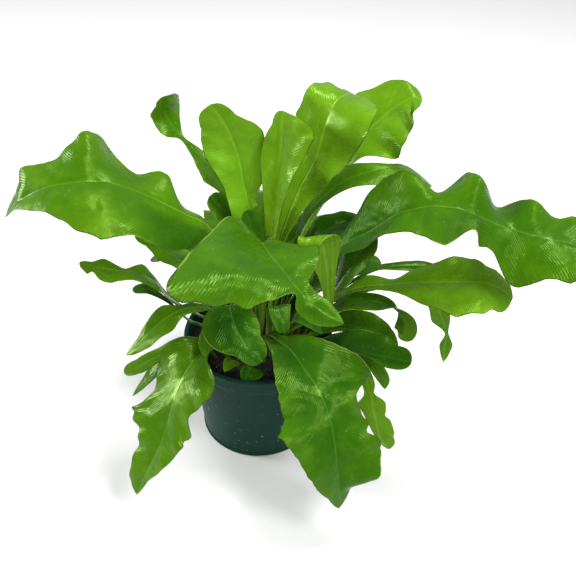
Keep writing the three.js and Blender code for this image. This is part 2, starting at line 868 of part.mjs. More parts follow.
function toGeometry(solid) {
  const mesh = solid.getMesh();
  const geometry = new THREE.BufferGeometry();
  geometry.setAttribute("position", new THREE.BufferAttribute(mesh.vertProperties, 3));
  geometry.setIndex(new THREE.BufferAttribute(mesh.triVerts, 1));
  geometry.computeVertexNormals();
  return geometry;
}

// A turned solid about the vertical axis, from a profile of radius and height.
function turned(profile, sides) {
  const geometry = new THREE.LatheGeometry(
    profile.map(([radius, height]) => new THREE.Vector2(radius, height)),
    sides,
  );
  return geometry.rotateX(Math.PI / 2);
}

const wallSlope = (RIM_RADIUS - RIM_PROUD - BASE_RADIUS) / POT_HEIGHT;
const outerRadius = (height) => BASE_RADIUS + wallSlope * height;
const innerRadius = (height) => outerRadius(height) - POT_WALL;

function potGeometry() {
  const bandFoot = POT_HEIGHT - RIM_BAND;
  const lip = POT_HEIGHT - LIP_ROUND;
  const profile = [
    [0, 0],
    [BASE_RADIUS, 0],
    [BASE_RADIUS + FOOT_BEAD, FOOT_BEAD],
    [BASE_RADIUS + FOOT_BEAD, 2 * FOOT_BEAD],
    [outerRadius(3 * FOOT_BEAD), 3 * FOOT_BEAD],
    [outerRadius(bandFoot - 1), bandFoot - 1],
    [outerRadius(bandFoot) + RIM_PROUD / 2, bandFoot],
    [RIM_RADIUS - LIP_ROUND, lip - LIP_ROUND * 1.6],
    [RIM_RADIUS, lip - LIP_ROUND * 0.6],
    [RIM_RADIUS, lip + LIP_ROUND * 0.4],
    [RIM_RADIUS - LIP_ROUND * 0.5, POT_HEIGHT],
    [innerRadius(POT_HEIGHT) + LIP_ROUND * 0.4, POT_HEIGHT],
    [innerRadius(POT_HEIGHT - 1), POT_HEIGHT - 1],
    [innerRadius(POT_FLOOR), POT_FLOOR],
    [0, POT_FLOOR],
  ];
  let pot = toSolid(turned(profile, POT_SIDES));
  for (let i = 0; i < DRAIN_HOLES; i++) {
    const angle = (2 * Math.PI * (i + 0.5)) / DRAIN_HOLES;
    const hole = new THREE.CylinderGeometry(DRAIN_RADIUS, DRAIN_RADIUS, 4 * POT_FLOOR, 16);
    hole.rotateX(Math.PI / 2);
    hole.translate(DRAIN_CIRCLE * Math.cos(angle), DRAIN_CIRCLE * Math.sin(angle), 0);
    pot = pot.subtract(toSolid(hole));
  }
  return toGeometry(pot);
}

// The height of the potting mix: a low mound at the crown, with crumbs all over.
function mixHeight(x, y) {
  const r = Math.hypot(x, y);
  const mound = CROWN_RISE * Math.max(0, 1 - Math.pow(r / (2 * CROWN_RADIUS), 2));
  const crumbs =
    Math.sin(0.83 * x + 1.7) * Math.cos(0.71 * y - 0.4) +
    0.7 * Math.sin(0.45 * x - 0.62 * y + 2.1) +
    0.5 * Math.cos(1.31 * x + 0.97 * y);
  return MIX_LEVEL + mound + MIX_CRUMB * 0.5 * crumbs;
}

// The potting mix, from the pot's floor to its crumbly top, with a plain hole for each frond.
function mixGeometry(holes) {
  const foot = POT_FLOOR + MIX_GAP;
  const footRadius = innerRadius(foot) - MIX_GAP;
  const topRadius = innerRadius(MIX_LEVEL - 2) - MIX_GAP;
  const points = [new THREE.Vector3(0, 0, mixHeight(0, 0))];
  const ring = (radius, height) => {
    for (let k = 0; k < POT_SIDES; k++) {
      const angle = (2 * Math.PI * k) / POT_SIDES;
      const x = radius * Math.cos(angle);
      const y = radius * Math.sin(angle);
      points.push(new THREE.Vector3(x, y, height ?? mixHeight(x, y)));
    }
  };
  for (let i = 1; i <= MIX_RINGS; i++) ring((topRadius * i) / MIX_RINGS);
  ring(topRadius, MIX_LEVEL - 4);
  ring(footRadius, foot);
  points.push(new THREE.Vector3(0, 0, foot));
  const rings = MIX_RINGS + 2;
  const at = (i, k) => 1 + (i - 1) * POT_SIDES + (k % POT_SIDES);
  const faces = [];
  for (let k = 0; k < POT_SIDES; k++) {
    faces.push(0, at(1, k), at(1, k + 1));
    for (let i = 1; i < rings; i++)
      faces.push(at(i, k), at(i + 1, k), at(i + 1, k + 1), at(i, k), at(i + 1, k + 1), at(i, k + 1));
    faces.push(points.length - 1, at(rings, k + 1), at(rings, k));
  }
  let mix = toSolid(solidGeometry(points, faces));
  for (const hole of holes) mix = mix.subtract(hole);
  return toGeometry(mix);
}

// The plain hole in the mix that a frond's stalk stands in: the stalk's own first stretch, with a
// gap all round.
function stalkHole(frond) {
  const points = frondPoints(frond);
  const section = 2 * BLADE_ACROSS;
  const side = points[section - 2].clone().sub(points[0]).normalize();
  const along = points[section].clone().sub(points[0]).normalize();
  const up = new THREE.Vector3().crossVectors(side, along);
  const grown = [];
  points.slice(0, 2 * section).forEach((point, i) => {
    const end = point.clone();
    if (i < section) end.addScaledVector(along, -HOLE_GAP);
    for (const [s, u] of [[-1, -1], [-1, 1], [1, -1], [1, 1]]) {
      const p = end.clone().addScaledVector(side, s * HOLE_GAP).addScaledVector(up, u * HOLE_GAP);
      grown.push([p.x, p.y, p.z]);
    }
  });
  return wasm.Manifold.hull(grown);
}

const material = (color, roughness) =>
  new THREE.MeshStandardMaterial({ color, roughness, metalness: 0 });

function addMesh(group, name, geometry, meshMaterial) {
  const mesh = new THREE.Mesh(geometry, meshMaterial);
  mesh.name = name;
  group.add(mesh);
}

const frondMaterial = (name) => {
  const shade = DARK_FRONDS.includes(name)
    ? "dark"
    : BRIGHT_FRONDS.includes(name)
      ? "bright"
      : "plain";
  return material(FROND_COLOURS[shade], 0.38);
};

const plant = new THREE.Group();
addMesh(plant, "pot", potGeometry(), material(0x1f4339, 0.42));
addMesh(plant, "potting_mix", mixGeometry(Object.values(FRONDS).map(stalkHole)), material(0x17120d, 0.95));
for (const [name, frond] of Object.entries(FRONDS))
  addMesh(plant, "frond_" + name, frondGeometry(frond), frondMaterial(name));

export default plant;
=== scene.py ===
import math
import random

import bpy
import numpy as np
from mathutils import Matrix, Vector, noise


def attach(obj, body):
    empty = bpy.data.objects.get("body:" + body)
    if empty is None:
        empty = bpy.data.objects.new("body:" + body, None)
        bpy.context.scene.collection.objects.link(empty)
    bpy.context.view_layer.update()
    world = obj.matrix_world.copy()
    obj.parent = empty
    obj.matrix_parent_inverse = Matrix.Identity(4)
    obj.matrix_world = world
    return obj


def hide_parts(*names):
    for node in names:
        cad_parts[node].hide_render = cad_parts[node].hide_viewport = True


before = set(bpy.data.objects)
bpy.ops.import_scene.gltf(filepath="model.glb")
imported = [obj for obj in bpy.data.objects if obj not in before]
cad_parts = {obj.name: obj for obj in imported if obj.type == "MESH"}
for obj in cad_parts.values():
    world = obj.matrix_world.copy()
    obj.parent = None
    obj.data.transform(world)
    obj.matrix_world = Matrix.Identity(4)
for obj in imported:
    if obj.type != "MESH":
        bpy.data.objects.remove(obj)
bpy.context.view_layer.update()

MM = 0.001

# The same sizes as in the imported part's source
POT_HEIGHT = 94
RIM_RADIUS = 57
BASE_RADIUS = 44.5
RIM_BAND = 13
RIM_PROUD = 1.6
LIP_ROUND = 1.3
POT_WALL = 1.8
POT_FLOOR = 2.4
FOOT_BEAD = 1.1
DRAIN_HOLES = 6
DRAIN_RADIUS = 5
DRAIN_CIRCLE = 32
MIX_LEVEL = 83
MIX_GAP = 0.3
MIX_CRUMB = 1.1
CROWN_RADIUS = 17
CROWN_RISE = 7
STALK_DEPTH = 3.2
STALK_LENGTH = 70
RIB_DEPTH = 1.5
TIP_HALF_WIDTH = 0.45
DROOP = -22

# Finer than in the source: steps between two rows, and columns across a half
STEPS = 12
TIP_STEPS = 16
COLUMNS = 12
RIB_COLUMN = 0.7
SHOULDER_COLUMN = 1.8
EDGE_COLUMN = 0.45
NARROW_HALF = 8
BLADE_THICKNESS = 0.6
EDGE_THICKNESS = 0.35
RIB_TIP_DEPTH = 0.7
RIB_HALF_WIDTH = 2.3
RIDGE_HEIGHT = 0.06
RIDGE_HALF_WIDTH = 0.6
POT_SIDES = 144
POT_ROUND = 0.6
MIX_SIDES = 120
MIX_RINGS = 44
MIX_GRAIN = 0.35

# Waves of a blade: halves narrower than PLAIN_HALF lie plain, those past FULL_HALF wave in full.
PLAIN_HALF = 5
FULL_HALF = 19
RIPPLE_HEIGHT = 0.7
RIPPLE_LENGTHS = (17, 26)
PUCKER_HEIGHT = 1.1
PUCKER_START = 5
PUCKER_LENGTHS = (24, 9)
PUCKER_WIDTHS = (15, 7)
RAGGED = 0.5
TOOTH_LENGTHS = (7, 3)

# How far the crumbs on the mix stay from a stalk's middle and from the pot's wall
STALK_CLEAR = 2.4
WALL_CLEAR = 1.5

# Each row along a frond, from the root to the tip, is the midrib's point x, y, z, then the left
# half's width and its lift in degrees, then the right half's width and its lift. A root's row has
# only x and y, a tip's has only its point, and a row with one width is level and even.
# "tone" names the slot and "sun" the green, 0 deep to 1.5 bright. "ragged", "wavy" and "gloss"
# scale the margin's teeth, the ripples and the shine. "facing" is the level direction, in degrees,
# that a frond bends in. "shade" is a dark stretch: where it starts to fade, where it ends, and
# the half it is on, -1 left, 1 right or 0 both.
ROOT_REST = (76, 2, 0, 2, 0)
TIP_REST = (0, 0, 0, 0)
FRONDS = {}
FRONDS["left_long"] = dict(tone="bright", sun=0.6, shade=(165, 200, -1), pointed=True, rows=[
    (-12, -4),
    (-12, -8, 125, 2.5),
    (-17, -13, 170, 5, 0, 5, 20),
    (-32, -20, 203, 13, -25, 8, -1),
    (-44, -24, 214, 25, -25, 12, -5),
    (-57, -29, 225, 35, -20, 25, 25),
    (-72, -34, 237, 35, -18, 25, -1),
    (-89, -38, 246, 43, -20, 39, 4),
    (-98, -40, 248, 42, -21, 38, 27),
    (-106, -42, 249, 37, -22, 34, 30),
    (-125, -44, 246, 21, -15, 20.5, 18),
    (-141, -44, 238, 11, -5, 22, 25),
    (-149, -43, 232, 5, 0, 9, 8),
    (-157, -42, 222),
])
FRONDS["back_left"] = dict(tone="plain", sun=0.6, ragged=1.2, facing=140, rows=[
    (-10, 10),
    (-9, 16, 128, 2.5),
    (-10, 22, 161, 3),
    (-20, 36, 187, 2, 10, 6, 10),
    (-33, 47, 205, 17, 17, 8, 10),
    (-47, 54, 217, 6.5, 12, 5, 10),
    (-57, 58, 227, 2.5, -1, 1.5, 10),
    (-63, 61, 233, 11, 4, 7, 0),
    (-69, 62, 245, 9.5, -20, 14.5, -2),
    (-65, 58, 260),
])
FRONDS["upright_left"] = dict(tone="bright", sun=1.3, facing=100, rows=[
    (-7, 0),
    (-5, 8, 126, 2.5),
    (-6, 17, 165, 6, 10, 3, 10),
    (-8, 24, 190, 14, 20, 3.5, 20),
    (-12, 30, 208, 15, 15, 15, 15),
    (-15, 34, 225, 20.5, 4, 19, 15),
    (-20, 36, 240, 21.5, -6, 23, 18),
    (-26, 36, 254, 16, -2, 10, 13),
    (-33, 33, 266),
])
FRONDS["upright_mid"] = dict(tone="bright", sun=1.1, rows=[
    (0, 3),
    (5, 5, 130, 2.5),
    (9, 9, 169, 4, 20, 4, 20),
    (11, 13, 192, 7, 30, 8, 30),
    (12, 18, 214, 10, 30, 16, 30),
    (14, 22, 231, 13, 20, 20, 20),
    (15, 25, 245, 12, 15, 25, 10),
    (15, 27, 255, 7, 10, 27, 4),
    (16, 28, 265),
])
FRONDS["top_large"] = dict(tone="bright", sun=1.05, wavy=1.4, gloss=1.35, rows=[
    (6, -3),
    (10, 2, 130, 2.5),
    (15, 9, 168, 4, 10, 4, 10),
    (22, 15, 194, 7, 25, 10, 10),
    (29, 20, 212, 10, 25, 13, -11),
    (37, 24, 227, 22.5, 2, 23, 14),
    (41, 27, 240, 27, 0, 25, -10),
    (45, 30, 257, 23.5, 8, 33, -1),
    (50, 36, 267, 21, 24, 33.5, 2),
    (57, 46, 269, 19, 12, 25, -3),
    (65, 58, 264, 15, 0, 15.5, -3),
    (70, 66, 254),
])
FRONDS["top_right"] = dict(tone="bright", sun=0.9, wavy=0.6, rows=[
    (8, 9),
    (17, 13, 136, 2.5),
    (30, 22, 166, 3),
    (47, 38, 195, 5, 10, 6, 10),
    (64, 50, 222, 11, 20, 12.5, 9),
    (75, 57, 235, 23, 20, 30.5, -20),
    (84, 61, 243, 29, 20, 31.5, -6),
    (93, 65, 250, 26, 15, 24.5, -12),
    (101, 67, 255, 21.5, 16, 25, 1),
    (107, 66, 259, 10.5, 15, 16, -15),
    (113, 65, 258),
])
FRONDS["arch_right"] = dict(tone="plain", sun=0.5, pointed=True, rows=[
    (14, 3),
    (19, 6, 130, 2.5),
    (25, 10, 164, 3),
    (32, 14, 188, 5),
    (44, 20, 202, 14, 10, 6, 0),
    (60, 24, 215, 15, 5, 8, -10),
    (79, 28, 221, 8, 20, 12, -20),
    (94, 33, 222, 3.5, 11, 12, -30),
    (107, 40, 216, 7.5, -5, 17.5, -10),
    (116, 40, 210, 5, 0, 18, -5),
    (124, 38, 204),
])
FRONDS["front_centre"] = dict(tone="bright", sun=0.38, wavy=1.8, pointed=True, rows=[
    (0, -13),
    (4, -18, 129, 3, 10, 3, 10),
    (5, -27, 166, 7, 60, 9, 65),
    (5, -40, 199, 10, 60, 21, 72),
    (5, -56, 217, 7.5, 8, 23.5, 56),
    (7, -74, 227, 18, -7, 32.5, 27),
    (12, -90, 231, 28, 1, 51.5, 13),
    (19, -104, 232, 23.5, 7, 69, 7),
    (23, -111, 231, 13.5, -6, 39.5, -3),
    (25, -114.5, 231, 9, 4, 28.5, -12),
    (26.5, -116.7, 230.5, 8, 8, 14.5, -6),
    (28.5, -119, 229.5, 7, 10, 4, 25),
    (33, -122, 226, 7, 0, 9, -28),
    (42, -126, 221, 6.5, 11, 8.5, -42),
    (53, -129, 216),
])
FRONDS["right_long"] = dict(tone="plain", sun=0.38, ragged=0.7, shade=(125, 190, 0), gloss=0.65, rows=[
    (12, -2),
    (18, -3, 112, 2.5),
    (29, -5, 140, 4),
    (45, -9, 167, 7, 20, 7, 0),
    (60, -12, 186, 10, 30, 11, -10),
    (76, -16, 200, 20.5, 42, 18, 0),
    (91, -20, 216, 30, 36, 23, 2),
    (103, -24, 224, 24.5, 40, 22, -8),
    (113, -28, 229, 14.5, 7, 25.5, -17),
    (124, -32, 231, 31, 9, 31.5, -13),
    (130, -34, 231, 29.5, 27, 34.5, -3),
    (137, -36, 229, 23.5, 33, 35, 17),
    (154, -40, 224, 28, -8, 18, -38),
    (171, -44, 221, 23, 40, 34, -55),
    (189, -48, 219, 20, 11, 27, -28),
    (204, -50, 217, 21, 20, 26, -24),
    (220, -52, 214),
])
FRONDS["right_mid"] = dict(tone="bright", sun=1.05, rows=[
    (20, -4),
    (28, -5, 106, 2.5),
    (44, -9, 128, 2.5),
    (63, -15, 146, 5, 10, 3, 0),
    (77, -19, 155, 10, 20, 4, 0),
    (93, -25, 162, 7),
    (107, -29, 167, 13, 15, 14, -5),
    (121, -34, 172, 18, 20, 22, -12),
    (136, -38, 176, 21, 20, 29, -12),
    (149, -43, 180, 18, 10, 25, -18),
    (160, -46, 179, 15, 0, 19, -20),
    (171, -48, 172),
])
FRONDS["front_right"] = dict(tone="plain", sun=0.26, ragged=1.1, wavy=0.6, pointed=True, rows=[
    (5, -24),
    (5, -26, 104, 2.5),
    (9, -31, 116, 5, 30, 5, 30),
    (17, -40, 119, 6, 30, 12, 20),
    (25, -48, 119, 16, 30, 16, 10),
    (34, -64, 118, 32, 12, 22, 0),
    (43, -79, 115, 45, -6, 28, -10),
    (49, -91, 110, 23, 10, 30, -23),
    (53, -101, 102, 26, -7, 34.5, -13),
    (56, -108, 90, 29, 10, 28, -10),
    (58, -114, 77, 32, 12, 23, 0),
    (60, -119, 62, 26.5, 21, 15, 0),
    (61, -121, 54, 9, -8, 9, 0),
    (61, -124, 43),
])
FRONDS["front_left"] = dict(tone="bright", sun=0.62, ragged=0.5, wavy=2.4, gloss=1.6, pointed=True, rows=[
    (-13, -20),
    (-18, -22, 99, 2.5),
    (-25, -27, 107, 4, 10, 3, 20),
    (-33, -36, 110, 6, 20, 9, 20),
    (-41, -47, 110, 10, 20, 20, 20),
    (-48, -59, 107, 26, 9, 27, -10),
    (-53, -70, 100, 30, 11, 24, -16),
    (-57, -80, 91, 18.5, 2, 26, -8),
    (-60, -88, 80, 19.5, -6, 34.5, -1),
    (-65, -94, 68, 15, 0, 18, 15),
    (-71, -99, 55, 10, 5, 15, 10),
    (-77, -102, 42, 4, 0, 11, 27),
    (-83, -105, 27),
])
FRONDS["right_behind"] = dict(tone="plain", sun=0.35, pointed=True, rows=[
    (25, 2),
    (34, 2, 104, 2),
    (47, 3, 120, 2),
    (61, 5, 133, 2),
    (75, 7, 144, 2),
    (88, 9, 151, 3),
    (100, 10, 152, 4, 10, 4, -10),
    (111, 11, 152, 5, 10, 5, -10),
    (123, 11, 152, 5, 10, 6, -10),
    (137, 9, 151),
])
FRONDS["right_twist"] = dict(tone="plain", sun=0.4, wavy=1.5, pointed=True, rows=[
    (25, -10),
    (33, -12, 100, 2),
    (43, -13, 117, 3),
    (54, -15, 127, 7, 20, 5, 0),
    (64, -19, 137, 10, 20, 6, 0),
    (77, -23, 144, 9, 20, 9, 0),
    (89, -27, 147, 6, 20, 9, 0),
    (98, -31, 145, 6, -20, 8, 50),
    (104, -35, 138, 8, -60, 9, 80),
    (105, -38, 129, 8, -75, 8, 80),
    (101, -39, 126),
])
FRONDS["right_hanging"] = dict(tone="plain", sun=0.7, wavy=1.6, pointed=True, rows=[
    (30, 9),
    (44, 10, 106, 2),
    (62, 6, 124, 2),
    (90, 0, 140, 2.5),
    (110, -3, 147, 4),
    (124, -6, 143, 7, 30, 7, -30),
    (131, -8, 133, 7, 60, 7, -60),
    (137, -10, 120, 6, 80, 8, -80),
    (142, -10, 106, 1.5, 80, 1.5, -80),
    (143, -10, 92, 5.5, 80, 4.5, -80),
    (144, -10, 76),
])
FRONDS["low_right_back"] = dict(tone="plain", sun=0.35, rows=[
    (21, -17),
    (30, -18, 99, 2.5),
    (46, -17, 110, 6, 20, 5, 0),
    (64, -19, 118, 14, 20, 6, -5),
    (79, -30, 125, 14, 20, 6, -10),
    (90, -37, 126, 9, 10, 6, -10),
    (97, -49, 121),
])
FRONDS["low_right_dark"] = dict(tone="dark", sun=0.15, wavy=1.5, rows=[
    (20, -25),
    (29, -27, 94, 2.5),
    (47, -31, 106, 12, 5, 4, 0),
    (64, -41, 116, 14, 32, 2.5, 0),
    (82, -51, 120, 17, 42, 3.5, -10),
    (96, -58, 123, 12, 13, 9, -10),
    (108, -62, 124),
])
FRONDS["centre_dark"] = dict(tone="dark", sun=0.06, gloss=0.8, rows=[
    (-4, -21),
    (-9, -21, 110, 2.5),
    (-16, -20, 132, 6),
    (-19, -26, 139, 13),
    (-16, -37, 137, 16, 0, 23, 0),
    (-11, -46, 131, 16, 0, 21, 0),
    (-5, -52, 125, 12, 0, 10, 0),
    (5, -57, 116),
])
FRONDS["left_mid"] = dict(tone="plain", sun=0.7, wavy=1.6, pointed=True, rows=[
    (-18, -13),
    (-24, -16, 112, 2),
    (-33, -21, 132, 3),
    (-42, -29, 140, 5, 0, 6, 5),
    (-51, -35, 143, 5, -15, 5, 10),
    (-58, -41, 143, 7.5, -15, 12, 7),
    (-65, -47, 141, 13, 2, 10, 9),
    (-72, -53, 137, 12, 7, 7.5, 8),
    (-79, -57, 131, 8, 0, 4, 3),
    (-88, -61, 123),
])
FRONDS["left_wavy"] = dict(tone="plain", sun=1.1, rows=[
    (-21, -4),
    (-30, -9, 106, 2),
    (-45, -16, 124, 2),
    (-57, -20, 136, 3),
    (-65, -23, 148, 8),
    (-70, -26, 160, 11, 0, 9.5, 3),
    (-77, -30, 169, 11, -4, 9, 20),
    (-85, -33, 174, 9, -4, 5, 20),
    (-93, -36, 177, 9, -20, 6, 17),
    (-101, -40, 181, 12.5, -12, 8, 28),
    (-108, -42, 185, 6.5, -14, 3.5, 14),
    (-115, -44, 188),
])
FRONDS["left_under"] = dict(tone="plain", sun=1.3, rows=[
    (-17, -1),
    (-20, -6, 128, 2.5),
    (-33, -13, 160, 11, 0, 5, 0),
    (-46, -18, 175, 16, -10, 9, 10),
    (-57, -22, 185, 20, -10, 9, 10),
    (-66, -25, 193, 14.5, -19, 8, 10),
    (-73, -27, 198, 7.5, -18, 6, 0),
    (-80, -28, 202),
])
FRONDS["curled"] = dict(tone="plain", sun=0.78, ribbed=True, rows=[
    (13, -16),
    (18, -17, 102, 2),
    (33, -20, 120, 2.5),
    (45, -24, 131, 3.5),
    (50, -27, 143, 4.5, 0, 3.5, 0),
    (49, -30, 164, 6, 0, 4.5, 0),
    (47, -32, 184, 9),
    (44, -36, 200, 13, -10, 13, -10),
    (40, -42, 212, 12, -20, 13, -20),
    (36, -48, 217, 9, -20, 9, -20),
    (33, -53, 217, 7, -10, 6, -10),
    (32, -56, 213),
])
FRONDS["blue_green"] = dict(tone="plain", sun=0.42, rows=[
    (12, -9),
    (18, -10, 104, 2),
    (36, -13, 124, 2.5),
    (52, -14, 143, 5, 0, 6, 0),
    (61, -15, 161, 11, 30, 12, -10),
    (66, -17, 174, 12, 30, 13, -20),
    (73, -19, 188, 10, 30, 11, -30),
    (81, -24, 199),
])
FRONDS["back_right_dark"] = dict(tone="dark", sun=0.12, rows=[
    (14, 12),
    (22, 12, 118, 2),
    (31, 13, 146, 3),
    (41, 17, 168, 9, 10, 8, 0),
    (49, 20, 176, 13, 15, 13, 0),
    (58, 24, 178, 12, 15, 13, 0),
    (67, 28, 178, 10, 15, 12, 0),
    (78, 31, 175),
])
FRONDS["right_small"] = dict(tone="plain", sun=0.3, rows=[
    (17, 5),
    (28, 4, 112, 2),
    (44, 0, 134, 2),
    (58, -3, 148, 4),
    (68, -3, 156, 9, 10, 7, 0),
    (76, -2, 161, 11, 10, 8, 0),
    (88, 0, 163),
])
FRONDS["left_small_dark"] = dict(tone="dark", sun=0.3, rows=[
    (-14, 5),
    (-12, 9, 122, 2),
    (-12, 13, 150, 3),
    (-18, 19, 173, 6),
    (-25, 24, 184, 9, 0, 9, 10),
    (-30, 27, 190, 8, 0, 9, 10),
    (-36, 28, 197),
])
FRONDS["centre_small_dark"] = dict(tone="dark", sun=0.2, rows=[
    (-3, -6),
    (-2, -6, 122, 2),
    (0, -4, 152, 3),
    (-1, -1, 173, 5, 10, 5, 10),
    (-4, 1, 186, 8, 10, 8, 10),
    (-6, 3, 194, 7, 10, 8, 10),
    (-9, 4, 201),
])
FRONDS["left_round"] = dict(tone="plain", sun=0.35, rows=[
    (-25, -12),
    (-37, -18, 110, 2),
    (-49, -24, 124, 2),
    (-60, -26, 140, 2.5),
    (-69, -28, 151, 5),
    (-76, -31, 158, 6),
    (-85, -33, 158),
])
FRONDS["low_left_out"] = dict(tone="plain", sun=0.85, wavy=1.5, rows=[
    (-27, -17),
    (-37, -22, 97, 2),
    (-48, -28, 105, 2.5),
    (-59, -29, 104, 5, 0, 6, 0),
    (-69, -34, 99, 6, 0, 8, 0),
    (-78, -39, 97, 7, 0, 8, 0),
    (-86, -43, 94, 7, 0, 8, 0),
    (-96, -45, 91),
])
FRONDS["low_left_tip"] = dict(tone="plain", sun=0.4, pointed=True, rows=[
    (-32, -9),
    (-42, -17, 95, 2),
    (-53, -25, 99, 3),
    (-65, -33, 94, 5),
    (-75, -38, 86, 6, 0, 7, 0),
    (-83, -42, 77, 4),
    (-92, -45, 66),
])
FRONDS["low_right_hanging"] = dict(tone="plain", sun=0.85, rows=[
    (34, -12),
    (45, -17, 95, 2),
    (60, -24, 100, 2.5),
    (76, -35, 93, 5, 20, 5, -20),
    (84, -44, 78, 6, 60, 4, -63),
    (88, -50, 63, 9, 60, 8.5, -73),
    (92, -53, 47, 12, 60, 5, -60),
    (96, -55, 35, 10, 60, 4, -94),
    (103, -56, 26),
])
FRONDS["low_right_tip"] = dict(tone="plain", sun=0.4, pointed=True, rows=[
    (29, -19),
    (44, -23, 98, 2),
    (66, -30, 103, 3),
    (84, -36, 98, 5, 20, 5, -20),
    (91, -39, 91, 5, 50, 5, -50),
    (95, -41, 84, 4, 60, 4, -60),
    (96, -42, 77),
])
FRONDS["rim_left"] = dict(tone="plain", sun=0.45, pointed=True, rows=[
    (-19, -20),
    (-29, -21, 105, 2),
    (-30, -31, 126, 2.5),
    (-34, -41, 129, 4),
    (-35, -49, 123, 5),
    (-35, -54, 117),
])
FRONDS["inner_dark"] = dict(tone="dark", sun=0.12, facing=285, rows=[
    (10, -20),
    (11, -20, 106, 2),
    (12, -22, 122, 6, 10, 5, 10),
    (13, -25, 135, 10, 5, 6, 10),
    (14, -29, 143, 11, 0, 6, 5),
    (16, -34, 143, 9, -5, 7, 0),
    (18, -39, 138, 6),
    (20, -43, 131),
])
FRONDS["front_small"] = dict(tone="plain", sun=0.2, pointed=True, rows=[
    (14, -24),
    (18, -26, 104, 2),
    (23, -28, 124, 4, 10, 4, 0),
    (29, -30, 134, 7, 10, 6, 0),
    (35, -33, 136, 8, 5, 7, 0),
    (41, -36, 134, 6),
    (47, -39, 128),
])
FRONDS["rim_front_left"] = dict(tone="plain", sun=0.9, pointed=True, rows=[
    (-10, -30),
    (-12, -34, 90, 3),
    (-16, -39, 99, 6),
    (-19, -45, 101, 5),
    (-22, -50, 99),
])
FRONDS["rim_front_mid"] = dict(tone="plain", sun=0.2, pointed=True, rows=[
    (0, -33),
    (-1, -37, 89, 3),
    (-3, -42, 95, 11, 0, 7, 0),
    (-6, -47, 93, 9, 0, 6, 0),
    (-9, -51, 87),
])
FRONDS["back_centre"] = dict(tone="plain", sun=0.5, rows=[
    (1, 14),
    (2, 26, 132, 3),
    (3, 46, 160, 14, 20, 14, 20),
    (4, 66, 170, 22, 15, 22, 10),
    (5, 86, 166, 21, 0, 22, 20),
    (5, 104, 150, 16, 20, 15, -5),
    (5, 118, 126),
])
FRONDS["back_mid_left"] = dict(tone="plain", sun=0.4, rows=[
    (-8, 16),
    (-12, 26, 122, 3),
    (-18, 42, 148, 12, 20, 12, 20),
    (-25, 62, 154, 19, 5, 18, 20),
    (-31, 82, 146, 17, 20, 18, 0),
    (-36, 98, 127, 12, 0, 12, 15),
    (-38, 108, 104),
])
FRONDS["back_mid_right"] = dict(tone="plain", sun=0.4, rows=[
    (10, 17),
    (16, 28, 122, 3),
    (25, 46, 146, 12, 20, 12, 20),
    (34, 66, 152, 19, 20, 18, 5),
    (42, 86, 143, 17, 0, 18, 20),
    (47, 102, 123, 12, 15, 12, 0),
    (49, 112, 100),
])
FRONDS["back_low_left"] = dict(tone="plain", sun=0.3, rows=[
    (-18, 10),
    (-27, 19, 108, 3),
    (-43, 32, 128, 11, 20, 11, 15),
    (-58, 44, 133, 16, 10, 15, 20),
    (-72, 55, 127, 14, 20, 14, 0),
    (-85, 64, 110),
])
FRONDS["back_low_centre"] = dict(tone="plain", sun=0.35, rows=[
    (-2, 22),
    (-5, 36, 108, 3),
    (-8, 56, 126, 12, 20, 12, 20),
    (-10, 76, 126, 17, 10, 17, 20),
    (-11, 94, 112, 14, 20, 15, 0),
    (-11, 106, 90),
])
FRONDS["back_low_right"] = dict(tone="plain", sun=0.3, rows=[
    (21, 14),
    (33, 22, 104, 3),
    (48, 32, 122, 10, 20, 10, 15),
    (62, 42, 126, 14, 10, 14, 20),
    (75, 51, 118, 11, 20, 12, 0),
    (86, 58, 101),
])

# Nicks and lobes of margins: the half, -1 left or 1 right, the place along the frond, how far
# the margin goes out, or in when negative, and the size along the margin.
NICKS = {
    "back_left": ((-1, 200, 1.8, 1.6), (-1, 206, -1.2, 2), (1, 207, -1.5, 1.4)),
    "front_right": ((1, 129, 3.2, 1.6), (-1, 141, -4.5, 2.6), (-1, 149, 2.2, 4)),
    "front_left": ((-1, 121, -2.4, 1.6), (-1, 116, 1.2, 2)),
    "left_wavy": ((1, 128, -3, 5), (-1, 149, -2.5, 2.5), (-1, 154, 2, 2)),
    "low_right_hanging": ((-1, 84, -3.5, 4), (-1, 93, 2, 4), (-1, 104, -2.5, 3.5), (1, 92, 4, 5)),
}


def full_row(row):
    """A row with what the table leaves out."""
    if len(row) == 2:
        return (*row, *ROOT_REST)
    if len(row) == 3:
        return (*row, *TIP_REST)
    if len(row) == 4:
        return (*row, 0, row[3], 0)
    return row


for frond in FRONDS.values():
    frond["rows"] = [full_row(row) for row in frond["rows"]]


def through_four(a, b, c, d, t):
    """A smooth curve from b to c, at the share t of the way, with a before and d after them."""
    return b + 0.5 * t * (c - a + t * (2 * a - 5 * b + 4 * c - d + t * (3 * (b - c) + d - a)))


def row_at(rows, u, pointed):
    """The frond's row at position u along it: points, widths and lifts on smooth curves."""
    i = min(int(u), len(rows) - 2)
    t = u - i
    last = len(rows) - 1
    near = [rows[min(max(i + k, 0), last)] for k in (-1, 0, 1, 2)]
    row = [through_four(*(near[k][n] for k in range(4)), t) for n in range(7)]
    if i == last - 1:
        close = 1 - t**1.4 if pointed else math.sqrt(max(0.0, 1 - t * t))
        for n in (3, 5):
            row[n] = near[1][n] * close
        for n in (4, 6):
            row[n] = near[1][n]
    for n in (3, 5):
        row[n] = max(row[n], TIP_HALF_WIDTH)
    return np.array(row)


def rib_point(rows, u, pointed):
    """The midrib's point at position u, or at the nearest end."""
    return row_at(rows, min(max(u, 0), len(rows) - 1), pointed)[:3]


